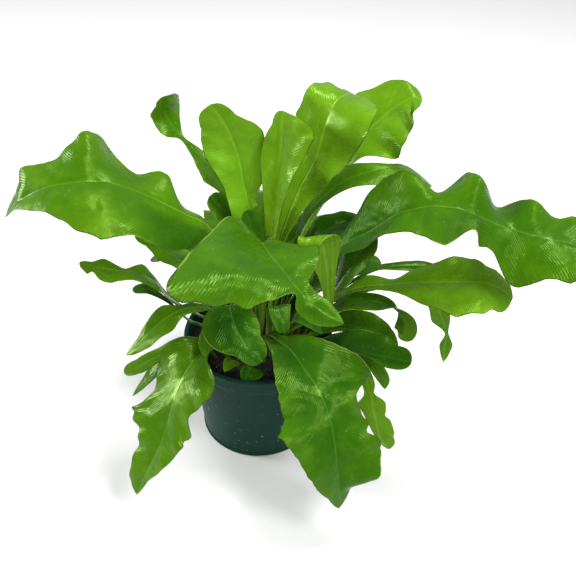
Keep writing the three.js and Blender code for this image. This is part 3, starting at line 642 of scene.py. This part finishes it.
def station_places(count):
    """Positions along a frond of so many rows, closer together at the tip."""
    places = [i + k / STEPS for i in range(count - 2) for k in range(STEPS)]
    places += [count - 2 + math.sin(math.pi / 2 * k / TIP_STEPS) for k in range(TIP_STEPS + 1)]
    return places


def unit(v):
    return v / np.linalg.norm(v)


def frond_heading(frond):
    """The level direction that a frond bends in: from its root to its tip, or its own."""
    rows = frond["rows"]
    heading = np.array(rows[-1][:3], float) - np.array(rows[0][:3], float)
    if "facing" in frond:
        angle = math.radians(frond["facing"])
        heading = np.array([math.cos(angle), math.sin(angle), 0.0])
    heading[2] = 0
    return unit(heading)


def columns(width):
    """Distances from the midrib of a half's columns: close at the rib and at the margin."""
    narrow = min(1.0, width / NARROW_HALF)
    shoulder, edge = SHOULDER_COLUMN * narrow, width - EDGE_COLUMN * narrow
    count = COLUMNS - 3
    even = [shoulder + (edge - shoulder) * k / count for k in range(count + 1)]
    return [0.0, RIB_COLUMN * narrow] + even + [width]


def half_blade(width, lift, distance):
    """A point of a half of the blade, across and up from the midrib, on its drooping arc."""
    start = math.radians(lift - DROOP / 2)
    turn = math.radians(DROOP)
    end = start + turn * distance / width
    return (
        width * (math.sin(end) - math.sin(start)) / turn,
        width * (math.cos(start) - math.cos(end)) / turn,
    )


class Waves:
    """The uneven margins, ripples and puckers of one frond. Hands are -1 left and 1 right."""

    def __init__(self, frond, nicks, chance):
        self.ragged = frond.get("ragged", RAGGED)
        self.wavy = frond.get("wavy", 1.0)
        self.nicks = nicks
        self.lengths = [chance.uniform(*RIPPLE_LENGTHS) for _ in range(2)]
        self.phases = [chance.uniform(0, 6.28) for _ in range(2)]
        self.own = chance.uniform(0, 90)

    def teeth(self, hand, length, broad):
        uneven = noise.noise((length / TOOTH_LENGTHS[0], self.own, hand))
        uneven += 0.6 * noise.noise((length / TOOTH_LENGTHS[1], self.own, hand))
        return self.ragged * broad * uneven

    def nick(self, hand, length):
        """How far the nicks and lobes move the margin out at this length."""
        return sum(
            reach * math.exp(-(((length - place) / size) ** 2))
            for half, place, reach, size in self.nicks
            if half == hand
        )

    def ripple(self, hand, length, distance, share, broad):
        """Ripples run out along the side veins and grow to the margin."""
        n = 0 if hand < 0 else 1
        wave = math.sin(2 * math.pi * (length - distance) / self.lengths[n] + self.phases[n])
        return RIPPLE_HEIGHT * self.wavy * broad * share**1.5 * wave

    def pucker(self, hand, length, distance, broad):
        v = hand * distance
        wave = noise.noise((length / PUCKER_LENGTHS[0], v / PUCKER_WIDTHS[0], self.own))
        wave += 0.4 * noise.noise((length / PUCKER_LENGTHS[1], v / PUCKER_WIDTHS[1], self.own + 5))
        calm = min(self.wavy, 1.0)
        return PUCKER_HEIGHT * calm * broad * min(1.0, distance / PUCKER_START) * wave


def frond_surface(frond, waves):
    """The frond's middle surface with, for each point, its length along and its distance across,
    its share of the half width, and the half width."""
    rows = frond["rows"]
    pointed = frond.get("pointed", False)
    heading = frond_heading(frond)
    level = np.array([heading[1], -heading[0], 0.0])
    grid, places = [], []
    length = 0
    before = None
    for u in station_places(len(rows)):
        row = row_at(rows, u, pointed)
        rib = row[:3]
        if before is not None:
            length += np.linalg.norm(rib - before)
        before = rib
        along = unit(rib_point(rows, u + 0.5, pointed) - rib_point(rows, u - 0.5, pointed))
        side = unit(level - along * level.dot(along))
        up = np.cross(side, along)
        line, marks = [], []
        for hand, width, lift in ((-1, row[3], row[4]), (1, row[5], row[6])):
            broad = min(1.0, max(0.0, (width - PLAIN_HALF) / (FULL_HALF - PLAIN_HALF)))
            width += waves.teeth(hand, length, broad)
            width += waves.nick(hand, length)
            steps = columns(width)
            if hand < 0:
                steps = steps[:0:-1]
            for distance in steps:
                share = distance / width
                across, rise = half_blade(width, lift, distance)
                rise += waves.ripple(hand, length, distance, share, broad)
                rise += waves.pucker(hand, length, distance, broad)
                line.append(rib + side * (hand * across) + up * rise)
                marks.append((length, hand * distance, hand * share, width))
        grid.append(line)
        places.append(marks)
    return np.array(grid), np.array(places)


def sheet_faces(rows, across):
    """Quads of a closed sheet: its upper points come row by row, then its lower points."""
    low = rows * across
    faces = []
    for i in range(rows - 1):
        for k in range(across - 1):
            a = i * across + k
            faces.append((a, a + 1, a + across + 1, a + across))
            faces.append((low + a, low + a + across, low + a + across + 1, low + a + 1))
        a, b = i * across, i * across + across - 1
        faces.append((a, a + across, low + a + across, low + a))
        faces.append((b, low + b, low + b + across, b + across))
    for k in range(across - 1):
        a, b = k, (rows - 1) * across + k
        faces.append((a, low + a, low + a + 1, a + 1))
        faces.append((b, b + 1, low + b + 1, low + b))
    return faces


def store(mesh, name, first, second):
    """A layer of two values for each corner of the mesh's faces."""
    values = np.stack([first, second], 1).astype(np.float32)
    layer = mesh.uv_layers.new(name=name)
    layer.data.foreach_set("uv", values.reshape(-1))


def frond_mesh(name, frond, nicks):
    """A frond's closed mesh: its upper and lower face, with the stalk and midrib below. It keeps
    where each corner lies on the frond for the material."""
    grid, places = frond_surface(frond, Waves(frond, nicks, random.Random(name)))
    rows, across = grid.shape[:2]
    along = np.gradient(grid, axis=0)
    sideways = np.gradient(grid, axis=1)
    normal = np.cross(sideways, along)
    normal /= np.linalg.norm(normal, axis=2, keepdims=True) + 1e-9
    length, distance, share, width = (places[..., n] for n in range(4))
    part = length / length.max()
    thick = BLADE_THICKNESS + (EDGE_THICKNESS - BLADE_THICKNESS) * np.abs(share) ** 3
    stalk = STALK_DEPTH * np.clip(1 - length / STALK_LENGTH, 0, 1)
    rib = RIB_DEPTH + (RIB_TIP_DEPTH - RIB_DEPTH) * part**2
    keel = np.clip(np.maximum(stalk, rib) - BLADE_THICKNESS, 0, None)
    spread = np.minimum(width, RIB_HALF_WIDTH)
    keel = keel * np.clip(1 - (np.abs(distance) / spread) ** 2, 0, 1) ** 0.7
    ridge = RIDGE_HEIGHT * np.exp(-((distance / RIDGE_HALF_WIDTH) ** 2)) * np.clip(1.15 - part, 0, 1)
    top = grid + normal * (thick / 2 + ridge)[..., None]
    bottom = grid - normal * (thick / 2 + keel)[..., None]
    points = np.concatenate([top.reshape(-1, 3), bottom.reshape(-1, 3)]) * MM
    mesh = bpy.data.meshes.new(name)
    mesh.from_pydata(points.tolist(), [], sheet_faces(rows, across))
    corners = np.zeros(len(mesh.loops), dtype=np.int32)
    mesh.loops.foreach_get("vertex_index", corners)
    low = rows * across
    spot = corners % low
    length, distance, share, part = (v.reshape(-1)[spot] for v in (length, distance, share, part))
    under = (corners >= low).astype(float)
    store(mesh, "measure", length / MEASURE, distance / MEASURE)
    store(mesh, "part", share, part)
    store(mesh, "face", under, np.zeros(len(under)))
    mesh.polygons.foreach_set("use_smooth", [True] * len(mesh.polygons))
    return mesh


class Nodes:
    """A short way to write a material's nodes: a number, a colour or another node's output."""

    def __init__(self, name):
        self.material = bpy.data.materials.new(name)
        self.material.use_nodes = True
        self.tree = self.material.node_tree
        self.tree.nodes.clear()
        self.end = self.add("ShaderNodeOutputMaterial")

    def add(self, kind, **settings):
        node = self.tree.nodes.new(kind)
        for key, value in settings.items():
            setattr(node, key, value)
        return node

    def put(self, socket, value):
        if isinstance(value, bpy.types.NodeSocket):
            self.tree.links.new(value, socket)
        elif isinstance(value, tuple) and len(value) == 3:
            socket.default_value = (*value, 1.0) if socket.type == "RGBA" else value
        else:
            socket.default_value = value

    def math(self, operation, a, b=0.5, c=0.5):
        node = self.add("ShaderNodeMath", operation=operation)
        for socket, value in zip(node.inputs, (a, b, c)):
            self.put(socket, value)
        return node.outputs[0]

    def times(self, a, b):
        return self.math("MULTIPLY", a, b)

    def times_plus(self, a, b, c):
        return self.math("MULTIPLY_ADD", a, b, c)

    def span(self, value, low, high, to_low=0.0, to_high=1.0):
        """A smooth step: to_low where the value is at low, and to_high where it is at high."""
        node = self.add("ShaderNodeMapRange", interpolation_type="SMOOTHSTEP")
        for socket, v in zip(node.inputs, (value, low, high, to_low, to_high)):
            self.put(socket, v)
        return node.outputs[0]

    def mix(self, factor, a, b):
        node = self.add("ShaderNodeMix", data_type="RGBA")
        self.put(node.inputs[0], factor)
        self.put(node.inputs[6], a)
        self.put(node.inputs[7], b)
        return node.outputs[2]

    def noise(self, where, scale, detail=3.0, roughness=0.55):
        node = self.add("ShaderNodeTexNoise")
        self.put(node.inputs["Vector"], where)
        self.put(node.inputs["Scale"], scale)
        self.put(node.inputs["Detail"], detail)
        self.put(node.inputs["Roughness"], roughness)
        return node.outputs[0]

    def bump(self, height, strength, distance, normal=None):
        node = self.add("ShaderNodeBump")
        self.put(node.inputs["Strength"], strength)
        self.put(node.inputs["Distance"], distance)
        self.put(node.inputs["Height"], height)
        if normal is not None:
            self.put(node.inputs["Normal"], normal)
        return node.outputs[0]

    def axes(self, vector):
        parts = self.add("ShaderNodeSeparateXYZ")
        self.put(parts.inputs[0], vector)
        return parts.outputs

    def layer(self, name):
        """The two values that a mesh keeps in the layer of this name."""
        return self.axes(self.add("ShaderNodeUVMap", uv_map=name).outputs[0])[:2]

    def places(self):
        return self.add("ShaderNodeTexCoord").outputs["Object"]

    def principled(self, **inputs):
        node = self.add("ShaderNodeBsdfPrincipled")
        for key, value in inputs.items():
            self.put(node.inputs[key.replace("_", " ")], value)
        return node

    def finish(self, shader):
        self.tree.links.new(shader, self.end.inputs[0])
        return self.material


# The greens of a frond from deep to bright. They are partly the frond's own tone and partly
# painted light and shade: a frond that looks more lit gets a brighter green.
DEEP_GREEN = (0.013, 0.075, 0.003)
MIDDLE_GREEN = (0.056, 0.168, 0.002)
SUNNY_GREEN = (0.145, 0.330, 0.007)
BRIGHT_GREEN = (0.240, 0.560, 0.024)
GLOW_GREEN = (0.21, 0.52, 0.015)
UNDER_GREEN = (0.10, 0.20, 0.012)
RIB_GREEN = (0.27, 0.42, 0.07)
MARGIN_PALE = (0.22, 0.36, 0.06)
MARGIN_BROWN = (0.035, 0.045, 0.008)
STALK_BROWN = (0.075, 0.055, 0.020)
KEEL_BROWN = (0.040, 0.026, 0.008)
STALK_GREEN = (0.17, 0.26, 0.035)
SPECK_PALE = (0.34, 0.50, 0.20)
GLARE = (0.62, 1.0, 0.18)
PAINTED_SHADE_SUN = 0.06

# Fronds sunnier than this have a bolder pale midrib, partly a painted glint, with a browner line
# beside it.
BOLD_SUN = 0.9

# A frond's layers count lengths and distances in this many millimetres. VEINS is how many side
# veins start in one of them.
MEASURE = 100
VEINS = 58

# Where a leaf's colours change: along it from the root and aside from the midrib in MEASUREs, and
# as shares of its length, or of its half width for the margin.
VEIN_ASIDE = (0.01, 0.05)
RIB_ASIDE = (0.0015, 0.0060)
RIB_SHARE = (0.35, 0.95)
MARGIN_SHARE = (0.965, 0.99)
LINE_OFFSET = 0.009
LINE_ASIDE = (0.002, 0.006)
KEEL_SHARE = (0.35, 0.75)
ROOT_SHADE_SHARE = (0.12, 0.55)
LOW_SHARE = (0.15, 0.45)
STALK_ASIDE = (0.010, 0.025)
STALK_ALONG = (0.25, 0.75)
FOOT_ALONG = (0.03, 0.30)
THROUGH_ASIDE = (0.004, 0.02)


def frond_green(sun):
    """The green of a frond by how sunny it is, partly painted light: 0 deep, 0.5 middle, 1 sunny,
    1.5 bright.
    """
    greens = [DEEP_GREEN, MIDDLE_GREEN, SUNNY_GREEN, BRIGHT_GREEN]
    place = min(max(sun, 0.0), 1.5) * 2
    step = min(int(place), 2)
    share = place - step
    return tuple(a + (b - a) * share for a, b in zip(greens[step], greens[step + 1]))


class LeafNodes(Nodes):
    """A leaf's nodes, with where each point lies on it and the noises that its looks share."""

    def __init__(self, name):
        super().__init__(name)
        self.length, self.distance = self.layer("measure")
        self.share, self.part = self.layer("part")
        self.under = self.layer("face")[0]
        self.where = self.places()
        self.away = self.math("ABSOLUTE", self.distance)
        self.edge = self.math("ABSOLUTE", self.share)
        self.broad = self.noise(self.where, 30, 3)
        self.patch = self.noise(self.where, 85, 2)


def vein_lines(m, ribbed, chance):
    """Dense side veins that sweep to the tip, or run along a ribbed frond, each uneven."""
    slant = chance.uniform(1.1, 1.4)
    if ribbed:
        sweep = m.times_plus(m.length, 0.05, m.times(m.distance, 0.55))
    else:
        # The place along the midrib at which the vein through this point starts
        sweep = m.times_plus(m.times(m.away, m.edge), 0.35, m.length)
        sweep = m.times_plus(m.away, -slant, sweep)
        sweep = m.times_plus(m.noise(m.where, 30, 2), 0.05, sweep)
    line = m.add("ShaderNodeCombineXYZ")
    m.put(line.inputs[0], m.times(sweep, VEINS))
    m.put(line.inputs[1], m.times(m.distance, 5))
    m.put(line.inputs[2], chance.uniform(0, 50))
    uneven = m.noise(line.outputs[0], 0.5, 2, 0.6)
    turn = m.times_plus(uneven, 5.0, m.times(sweep, 6.283 * VEINS))
    vein = m.times_plus(m.math("SINE", turn), 0.5, 0.5)
    vein = m.times(vein, m.span(uneven, 0.3, 0.7, 0.45, 1.0))
    return m.times(vein, m.span(m.away, *VEIN_ASIDE, 0.2, 1.0))


def blade_green(m, sun, vein, vein_weight):
    """The mottled green of a blade, sunnier to its sides, with a thin pale or brown margin."""
    mottle = m.times_plus(m.patch, 0.45, m.times_plus(vein, vein_weight, m.broad))
    green = m.mix(m.span(mottle, 0.65, 1.15), frond_green(sun - 0.16), frond_green(sun + 0.14))
    green = m.mix(m.times(m.span(m.edge, 0.4, 1.0), 0.12), green, SUNNY_GREEN)
    margin = m.mix(m.span(m.noise(m.where, 22, 1), 0.38, 0.48), MARGIN_PALE, MARGIN_BROWN)
    return m.mix(m.span(m.edge, *MARGIN_SHARE, 0.0, 0.75), green, margin)


def with_midrib(m, green, sun, chance):
    """A slim pale midrib that fades to the tip, bolder on sunny fronds where it is partly a painted
    glint, pale specks, painted shade that darkens the root, and a dark line along one side of the
    midrib, which is brown near the root."""
    slim = m.span(m.away, *RIB_ASIDE, 1.0, 0.0)
    # The pale midrib is the leaf's own; on sunny fronds it is bolder, partly a painted glint.
    slim = m.times(slim, m.span(m.part, *RIB_SHARE, 0.65 if sun > BOLD_SUN else 0.36, 0.06))
    slim = m.times(slim, m.span(m.noise(m.where, 28, 2), 0.35, 0.65, 0.35, 1.0))
    green = m.mix(slim, green, RIB_GREEN)
    specks = m.span(m.noise(m.where, 480, 1), 0.74, 0.78)
    green = m.mix(m.times(specks, 0.35), green, SPECK_PALE)
    # Painted shade: the green darkens towards the root, where leaf bases lie in the others' shade.
    root = m.span(m.part, *ROOT_SHADE_SHARE, 0.55, 0.0)
    green = m.mix(root, green, frond_green(min(sun - 0.5, 0.5)))
    beside = m.math("SUBTRACT", m.distance, chance.choice((-LINE_OFFSET, LINE_OFFSET)))
    beside = m.span(m.math("ABSOLUTE", beside), *LINE_ASIDE, 1.0, 0.0)
    green = m.mix(m.times(beside, 0.4), green, frond_green(sun - 0.4))
    keel = m.span(m.part, *KEEL_SHARE, 0.9 if sun > BOLD_SUN else 0.25, 0.0)
    return m.mix(m.times(beside, keel), green, KEEL_BROWN)


def with_painted_shade(m, green, start, end, hand):
    """Painted shade: a dark stretch from the root on, on one half or on both."""
    dark = m.span(m.length, start / MEASURE, end / MEASURE, 0.85, 0.0)
    if hand:
        dark = m.times(dark, m.span(m.times(m.share, hand), 0.05, 0.5))
    return m.mix(dark, green, frond_green(PAINTED_SHADE_SUN))


def with_stalk(m, green):
    """A pale green stalk with a brown foot."""
    low = m.span(m.part, *LOW_SHARE, 1.0, 0.0)
    stalk = m.times(low, m.span(m.length, *STALK_ALONG, 0.75, 0.0))
    stalk = m.times(stalk, m.span(m.away, *STALK_ASIDE, 1.0, 0.1))
    green = m.mix(stalk, green, STALK_GREEN)
    foot = m.times(low, m.span(m.length, *FOOT_ALONG, 0.9, 0.0))
    return m.mix(foot, green, STALK_BROWN)


def frond_material(name, frond, chance):
    """A glossy leaf, paler and duller below. Light comes through the blade."""
    sun = frond["sun"]
    ribbed = frond.get("ribbed", False)
    m = LeafNodes(name)
    vein = vein_lines(m, ribbed, chance)
    green = blade_green(m, sun, vein, 0.5 if ribbed else 0.18)
    green = with_midrib(m, green, sun, chance)
    # A frond's painted shade, where its blade turns away from the light
    if "shade" in frond:
        green = with_painted_shade(m, green, *frond["shade"])
    green = with_stalk(m, green)
    green = m.mix(m.times(m.under, 0.35), green, UNDER_GREEN)
    normal = m.bump(m.broad, 0.45, 0.006)
    normal = m.bump(m.patch, 0.30, 0.002, normal)
    normal = m.bump(vein, 0.25, 0.0005, normal)
    normal = m.bump(m.noise(m.where, 650, 2), 0.06, 0.0003, normal)
    rough = m.times_plus(m.under, 0.2, m.span(m.patch, 0.35, 0.7, 0.21, 0.33))
    face = m.principled(Base_Color=green, Roughness=rough, Specular_Tint=GLARE, Normal=normal)
    shine = frond.get("gloss", 1.0) * (0.22 + 0.17 * min(sun, 1.0))
    face.inputs["Specular IOR Level"].default_value = shine
    through = m.add("ShaderNodeBsdfTranslucent")
    glow = tuple(0.5 * (a + b) for a, b in zip(frond_green(sun + 0.2), GLOW_GREEN))
    m.put(through.inputs["Color"], m.mix(0.5, green, glow))
    m.put(through.inputs["Normal"], normal)
    both = m.add("ShaderNodeMixShader")
    thin = m.span(m.away, *THROUGH_ASIDE, 0.2, 1.0)
    m.put(both.inputs[0], m.times(thin, 0.12 + 0.16 * sun))
    m.put(both.inputs[1], face.outputs[0])
    m.put(both.inputs[2], through.outputs[0])
    return m.finish(both.outputs[0])


def pot_material():
    """Satin dark green plastic with faint streaks and small dried water drops, more of them low
    down."""
    m = Nodes("pot_plastic")
    where = m.places()
    broad = m.noise(where, 16, 3)
    drops = m.span(m.noise(where, 330, 1), 0.69, 0.75)
    drops = m.times(drops, m.span(m.axes(where)[2], 0.015, 0.075, 1.0, 0.25))
    green = m.mix(broad, (0.004, 0.028, 0.019), (0.007, 0.040, 0.028))
    green = m.mix(m.times(drops, 0.6), green, (0.12, 0.22, 0.19))
    normal = m.bump(m.noise(where, 900, 2), 0.08, 0.0003)
    normal = m.bump(drops, 0.35, 0.0005, normal)
    rough = m.math("SUBTRACT", m.span(broad, 0.3, 0.7, 0.36, 0.46), m.times(drops, 0.2))
    face = m.principled(Base_Color=green, Roughness=rough, Normal=normal)
    face.inputs["Specular IOR Level"].default_value = 0.06
    return m.finish(face.outputs[0])


def soil_material():
    """Nearly black damp mix with paler crumbs."""
    m = Nodes("mix_soil")
    where = m.places()
    crumb = m.noise(where, 260, 5, 0.7)
    dark = m.mix(m.noise(where, 60, 3), (0.002, 0.0015, 0.001), (0.010, 0.007, 0.005))
    colour = m.mix(m.span(crumb, 0.5, 0.75), dark, (0.026, 0.017, 0.010))
    normal = m.bump(crumb, 0.9, 0.003)
    return m.finish(m.principled(Base_Color=colour, Roughness=0.85, Normal=normal).outputs[0])


def chip_material(name, dark, light, rough):
    """Rough grains between two colours."""
    m = Nodes(name)
    where = m.places()
    colour = m.mix(m.span(m.noise(where, 140, 3), 0.35, 0.65), dark, light)
    normal = m.bump(m.noise(where, 900, 3), 0.5, 0.0006)
    return m.finish(m.principled(Base_Color=colour, Roughness=rough, Normal=normal).outputs[0])


def place(name, mesh, material, slot, replaced=None):
    """A piece of the part, which may stand for one of its nodes."""
    piece = bpy.data.objects.new(name, mesh)
    bpy.context.scene.collection.objects.link(piece)
    piece.data.materials.append(material)
    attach(piece, "root")
    if replaced:
        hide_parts(replaced)
    return piece


def make_fronds():
    for frond_name, frond in FRONDS.items():
        name = "leaf_" + frond_name
        material = frond_material(name, frond, random.Random("look " + frond_name))
        mesh = frond_mesh(name, frond, NICKS.get(frond_name, ()))
        place(name, mesh, material, "frond_" + frond["tone"], "frond_" + frond_name)


def turned_mesh(name, profile, sides):
    """A mesh turned about the vertical axis from (radius, height) pairs; radius 0 is one point."""
    points, rings, faces = [], [], []
    for radius, height in profile:
        if radius < 1e-6:
            rings.append([len(points)] * sides)
            points.append((0, 0, height * MM))
            continue
        rings.append(list(range(len(points), len(points) + sides)))
        for k in range(sides):
            angle = 2 * math.pi * k / sides
            points.append((radius * math.cos(angle) * MM, radius * math.sin(angle) * MM, height * MM))
    for low, high in zip(rings, rings[1:]):
        for k in range(sides):
            j = (k + 1) % sides
            corners = list(dict.fromkeys([low[k], low[j], high[j], high[k]]))
            if len(corners) > 2:
                faces.append(corners)
    mesh = bpy.data.meshes.new(name)
    mesh.from_pydata(points, [], faces)
    mesh.polygons.foreach_set("use_smooth", [True] * len(mesh.polygons))
    return mesh


def rounded(corners, radius, steps=4):
    """A profile whose inner corners are rounded by so much, from plain corners."""
    out = [corners[0]]
    for before, here, after in zip(corners, corners[1:], corners[2:]):
        b, h, a = (np.array(p, float) for p in (before, here, after))
        r = min(radius, 0.45 * np.linalg.norm(b - h), 0.45 * np.linalg.norm(a - h))
        p, q = h + unit(b - h) * r, h + unit(a - h) * r
        for k in range(steps + 1):
            t = k / steps
            out.append(tuple((1 - t) ** 2 * p + 2 * t * (1 - t) * h + t * t * q))
    return out + [corners[-1]]


WALL_SLOPE = (RIM_RADIUS - RIM_PROUD - BASE_RADIUS) / POT_HEIGHT


def outer_radius(height):
    return BASE_RADIUS + WALL_SLOPE * height


def inner_radius(height):
    return outer_radius(height) - POT_WALL


def pot_profile():
    """The pot's section: the foot bead, the wall, the rim band's step, the lip and the inside."""
    band = POT_HEIGHT - RIM_BAND
    foot = BASE_RADIUS + FOOT_BEAD
    bead_top = 3.4
    return [
        (0, 0),
        (BASE_RADIUS, 0),
        (foot, 0.9),
        (foot, 2 * FOOT_BEAD),
        (outer_radius(bead_top) - 0.25, bead_top),
        (outer_radius(bead_top + 1), bead_top + 1),
        (outer_radius(band - 1.2), band - 1.2),
        (outer_radius(band) + RIM_PROUD * 0.55, band),
        (RIM_RADIUS - LIP_ROUND * 1.1, POT_HEIGHT - 3.6),
        (RIM_RADIUS, POT_HEIGHT - 2 * LIP_ROUND),
        (RIM_RADIUS, POT_HEIGHT - 0.5),
        (RIM_RADIUS - LIP_ROUND * 0.7, POT_HEIGHT),
        (inner_radius(POT_HEIGHT) + 0.4, POT_HEIGHT),
        (inner_radius(POT_HEIGHT - 1), POT_HEIGHT - 1),
        (inner_radius(POT_FLOOR), POT_FLOOR),
        (0, POT_FLOOR),
    ]


def make_pot():
    mesh = turned_mesh("pot_moulded", rounded(pot_profile(), POT_ROUND), POT_SIDES)
    pot = place("pot_moulded", mesh, pot_material(), "pot", "pot")
    cutters = []
    for k in range(DRAIN_HOLES):
        angle = 2 * math.pi * (k + 0.5) / DRAIN_HOLES
        middle = (DRAIN_CIRCLE * math.cos(angle) * MM, DRAIN_CIRCLE * math.sin(angle) * MM, 0)
        bpy.ops.mesh.primitive_cylinder_add(
            vertices=32, radius=DRAIN_RADIUS * MM, depth=4 * POT_FLOOR * MM, location=middle
        )
        cutters.append(bpy.context.object)
    bpy.context.view_layer.objects.active = pot
    for cutter in cutters:
        cut = pot.modifiers.new("drain", "BOOLEAN")
        cut.operation = "DIFFERENCE"
        cut.solver = "EXACT"
        cut.object = cutter
        with bpy.context.temp_override(object=pot, active_object=pot):
            bpy.ops.object.modifier_apply(modifier=cut.name)
        bpy.data.objects.remove(cutter, do_unlink=True)


def mix_height(x, y):
    """The height of the mix: a mound under the crown with the source's crumbs."""
    r = math.hypot(x, y)
    mound = CROWN_RISE * max(0.0, 1 - (r / (2 * CROWN_RADIUS)) ** 2)
    crumbs = (
        math.sin(0.83 * x + 1.7) * math.cos(0.71 * y - 0.4)
        + 0.7 * math.sin(0.45 * x - 0.62 * y + 2.1)
        + 0.5 * math.cos(1.31 * x + 0.97 * y)
    )
    return MIX_LEVEL + mound + MIX_CRUMB * 0.5 * crumbs


def make_mix():
    foot = POT_FLOOR + MIX_GAP
    top = inner_radius(MIX_LEVEL - 2) - MIX_GAP
    profile = [(0, foot), (inner_radius(foot) - MIX_GAP, foot), (top, MIX_LEVEL - 4)]
    profile += [(top * (1 - k / MIX_RINGS), MIX_LEVEL) for k in range(MIX_RINGS)]
    profile.append((0, MIX_LEVEL))
    mesh = turned_mesh("mix_mound", profile, MIX_SIDES)
    chance = random.Random(7)
    for vertex in mesh.vertices:
        if vertex.co.z > (MIX_LEVEL - 1) * MM:
            height = mix_height(vertex.co.x / MM, vertex.co.y / MM)
            vertex.co.z = (height + chance.uniform(-MIX_GRAIN, MIX_GRAIN)) * MM
    place("mix_mound", mesh, soil_material(), "potting_mix", "potting_mix")


def chip_spot(chance, sizes, clear):
    """A free place for a chip on the mix, and the chip's size, or none."""
    top = inner_radius(MIX_LEVEL) - WALL_CLEAR
    r, angle = top * math.sqrt(chance.random()), chance.uniform(0, 2 * math.pi)
    x, y = r * math.cos(angle), r * math.sin(angle)
    size = chance.uniform(*sizes)
    if r + size > top or any(math.hypot(x - a, y - b) < STALK_CLEAR + size for a, b in clear):
        return None
    return x, y, size


def chip_points(chance, x, y, size, flat, rings, sides):
    """The points of one rough chip: a ball, stretched, turned and dented."""
    turn = Matrix.Rotation(chance.uniform(0, 6.28), 4, "Z")
    turn = turn @ Matrix.Rotation(chance.uniform(-0.5, 0.5), 4, "X")
    stretch = (size * chance.uniform(0.8, 1.5), size * chance.uniform(0.5, 0.9), size * flat)
    middle = Vector((x, y, mix_height(x, y) + size * flat * 0.35))
    points = []
    for i in range(rings + 1):
        tilt = math.pi * i / rings
        for k in range(sides):
            spin = 2 * math.pi * (k + 0.5 * (i % 2)) / sides
            ring = math.sin(tilt)
            p = Vector((ring * math.cos(spin), ring * math.sin(spin), math.cos(tilt)))
            p = p * chance.uniform(0.75, 1.1)
            p = Vector((p.x * stretch[0], p.y * stretch[1], p.z * stretch[2]))
            points.append(((turn @ p) + middle) * MM)
    return points


def chip_mesh(name, count, sizes, flat, seed, clear):
    """Many small rough chips lying on the mix, fused into one mesh, clear of the stalks."""
    chance = random.Random(seed)
    points, faces = [], []
    rings, sides = 4, 7
    made = 0
    while made < count:
        spot = chip_spot(chance, sizes, clear)
        if spot is None:
            continue
        made += 1
        start = len(points)
        points += chip_points(chance, *spot, flat, rings, sides)
        for i in range(rings):
            for k in range(sides):
                a, b = start + i * sides + k, start + i * sides + (k + 1) % sides
                faces.append((a, a + sides, b + sides, b))
    mesh = bpy.data.meshes.new(name)
    mesh.from_pydata(points, [], faces)
    return mesh


def make_crumbs():
    """Bark, peat and perlite on the mix."""
    clear = [frond["rows"][0][:2] for frond in FRONDS.values()]
    bark = chip_material("bark_chip", (0.005, 0.003, 0.002), (0.034, 0.020, 0.012), 0.8)
    peat = chip_material("peat_crumb", (0.004, 0.003, 0.002), (0.016, 0.010, 0.006), 0.9)
    pale = chip_material("perlite", (0.34, 0.32, 0.28), (0.62, 0.60, 0.55), 0.75)
    for name, count, sizes, flat, seed, material in (
        ("bark_chips", 130, (1.2, 3.0), 0.45, 3, bark),
        ("peat_crumbs", 420, (0.6, 1.5), 0.7, 4, peat),
        ("perlite_grains", 46, (0.5, 1.2), 0.8, 5, pale),
    ):
        place(name, chip_mesh(name, count, sizes, flat, seed, clear), material, "potting_mix")


def make_floor():
    """A plain pale floor."""
    mesh = bpy.data.meshes.new("floor")
    s = 6.0
    mesh.from_pydata([(-s, -s, 0), (s, -s, 0), (s, s, 0), (-s, s, 0)], [], [(0, 1, 2, 3)])
    floor = bpy.data.objects.new("floor", mesh)
    bpy.context.scene.collection.objects.link(floor)
    m = Nodes("floor_pale")
    face = m.principled(Base_Color=(0.86, 0.86, 0.86), Roughness=0.9)
    floor.data.materials.append(m.finish(face.outputs[0]))


def area_light(name, place_at, size, power):
    """A round soft light that aims at the plant's middle."""
    light = bpy.data.lights.new(name, "AREA")
    light.shape = "DISK"
    light.size = size
    light.energy = power
    lamp = bpy.data.objects.new(name, light)
    bpy.context.scene.collection.objects.link(lamp)
    lamp.location = place_at
    aim = Vector((0.02, 0, 0.14)) - lamp.location
    lamp.rotation_euler = aim.to_track_quat("-Z", "Y").to_euler()


def make_light():
    area_light("above", (0.40, 0.15, 1.35), 0.45, 14)
    area_light("right_front", (0.65, -0.60, 1.25), 0.45, 10)
    area_light("front", (0.10, -1.15, 0.85), 0.40, 6)
    area_light("left", (-1.15, 0.18, 0.55), 0.45, 12)
    world = bpy.data.worlds.new("studio")
    world.use_nodes = True
    sky = world.node_tree.nodes["Background"]
    sky.inputs[0].default_value = (1, 1, 1, 1)
    sky.inputs[1].default_value = 0.44
    bpy.context.scene.world = world
    bpy.context.scene.view_settings.view_transform = "Standard"


def make_camera():
    """The fitted viewpoint of the photograph."""
    camera = bpy.data.cameras.new("camera")
    camera.lens = 50
    camera.sensor_width = 36
    eye = bpy.data.objects.new("camera", camera)
    bpy.context.scene.collection.objects.link(eye)
    elevation, distance, roll = math.radians(38.6), 0.590, math.radians(1.5)
    target = Vector((0.022, 0, 0.137))
    back = Vector((0, -math.cos(elevation), math.sin(elevation)))
    eye.location = target + back * distance
    turn = back.to_track_quat("Z", "Y").to_matrix().to_4x4() @ Matrix.Rotation(roll, 4, "Z")
    eye.rotation_euler = turn.to_euler()
    bpy.context.scene.camera = eye


make_camera()
make_floor()
make_light()
make_pot()
make_mix()
make_crumbs()
make_fronds()
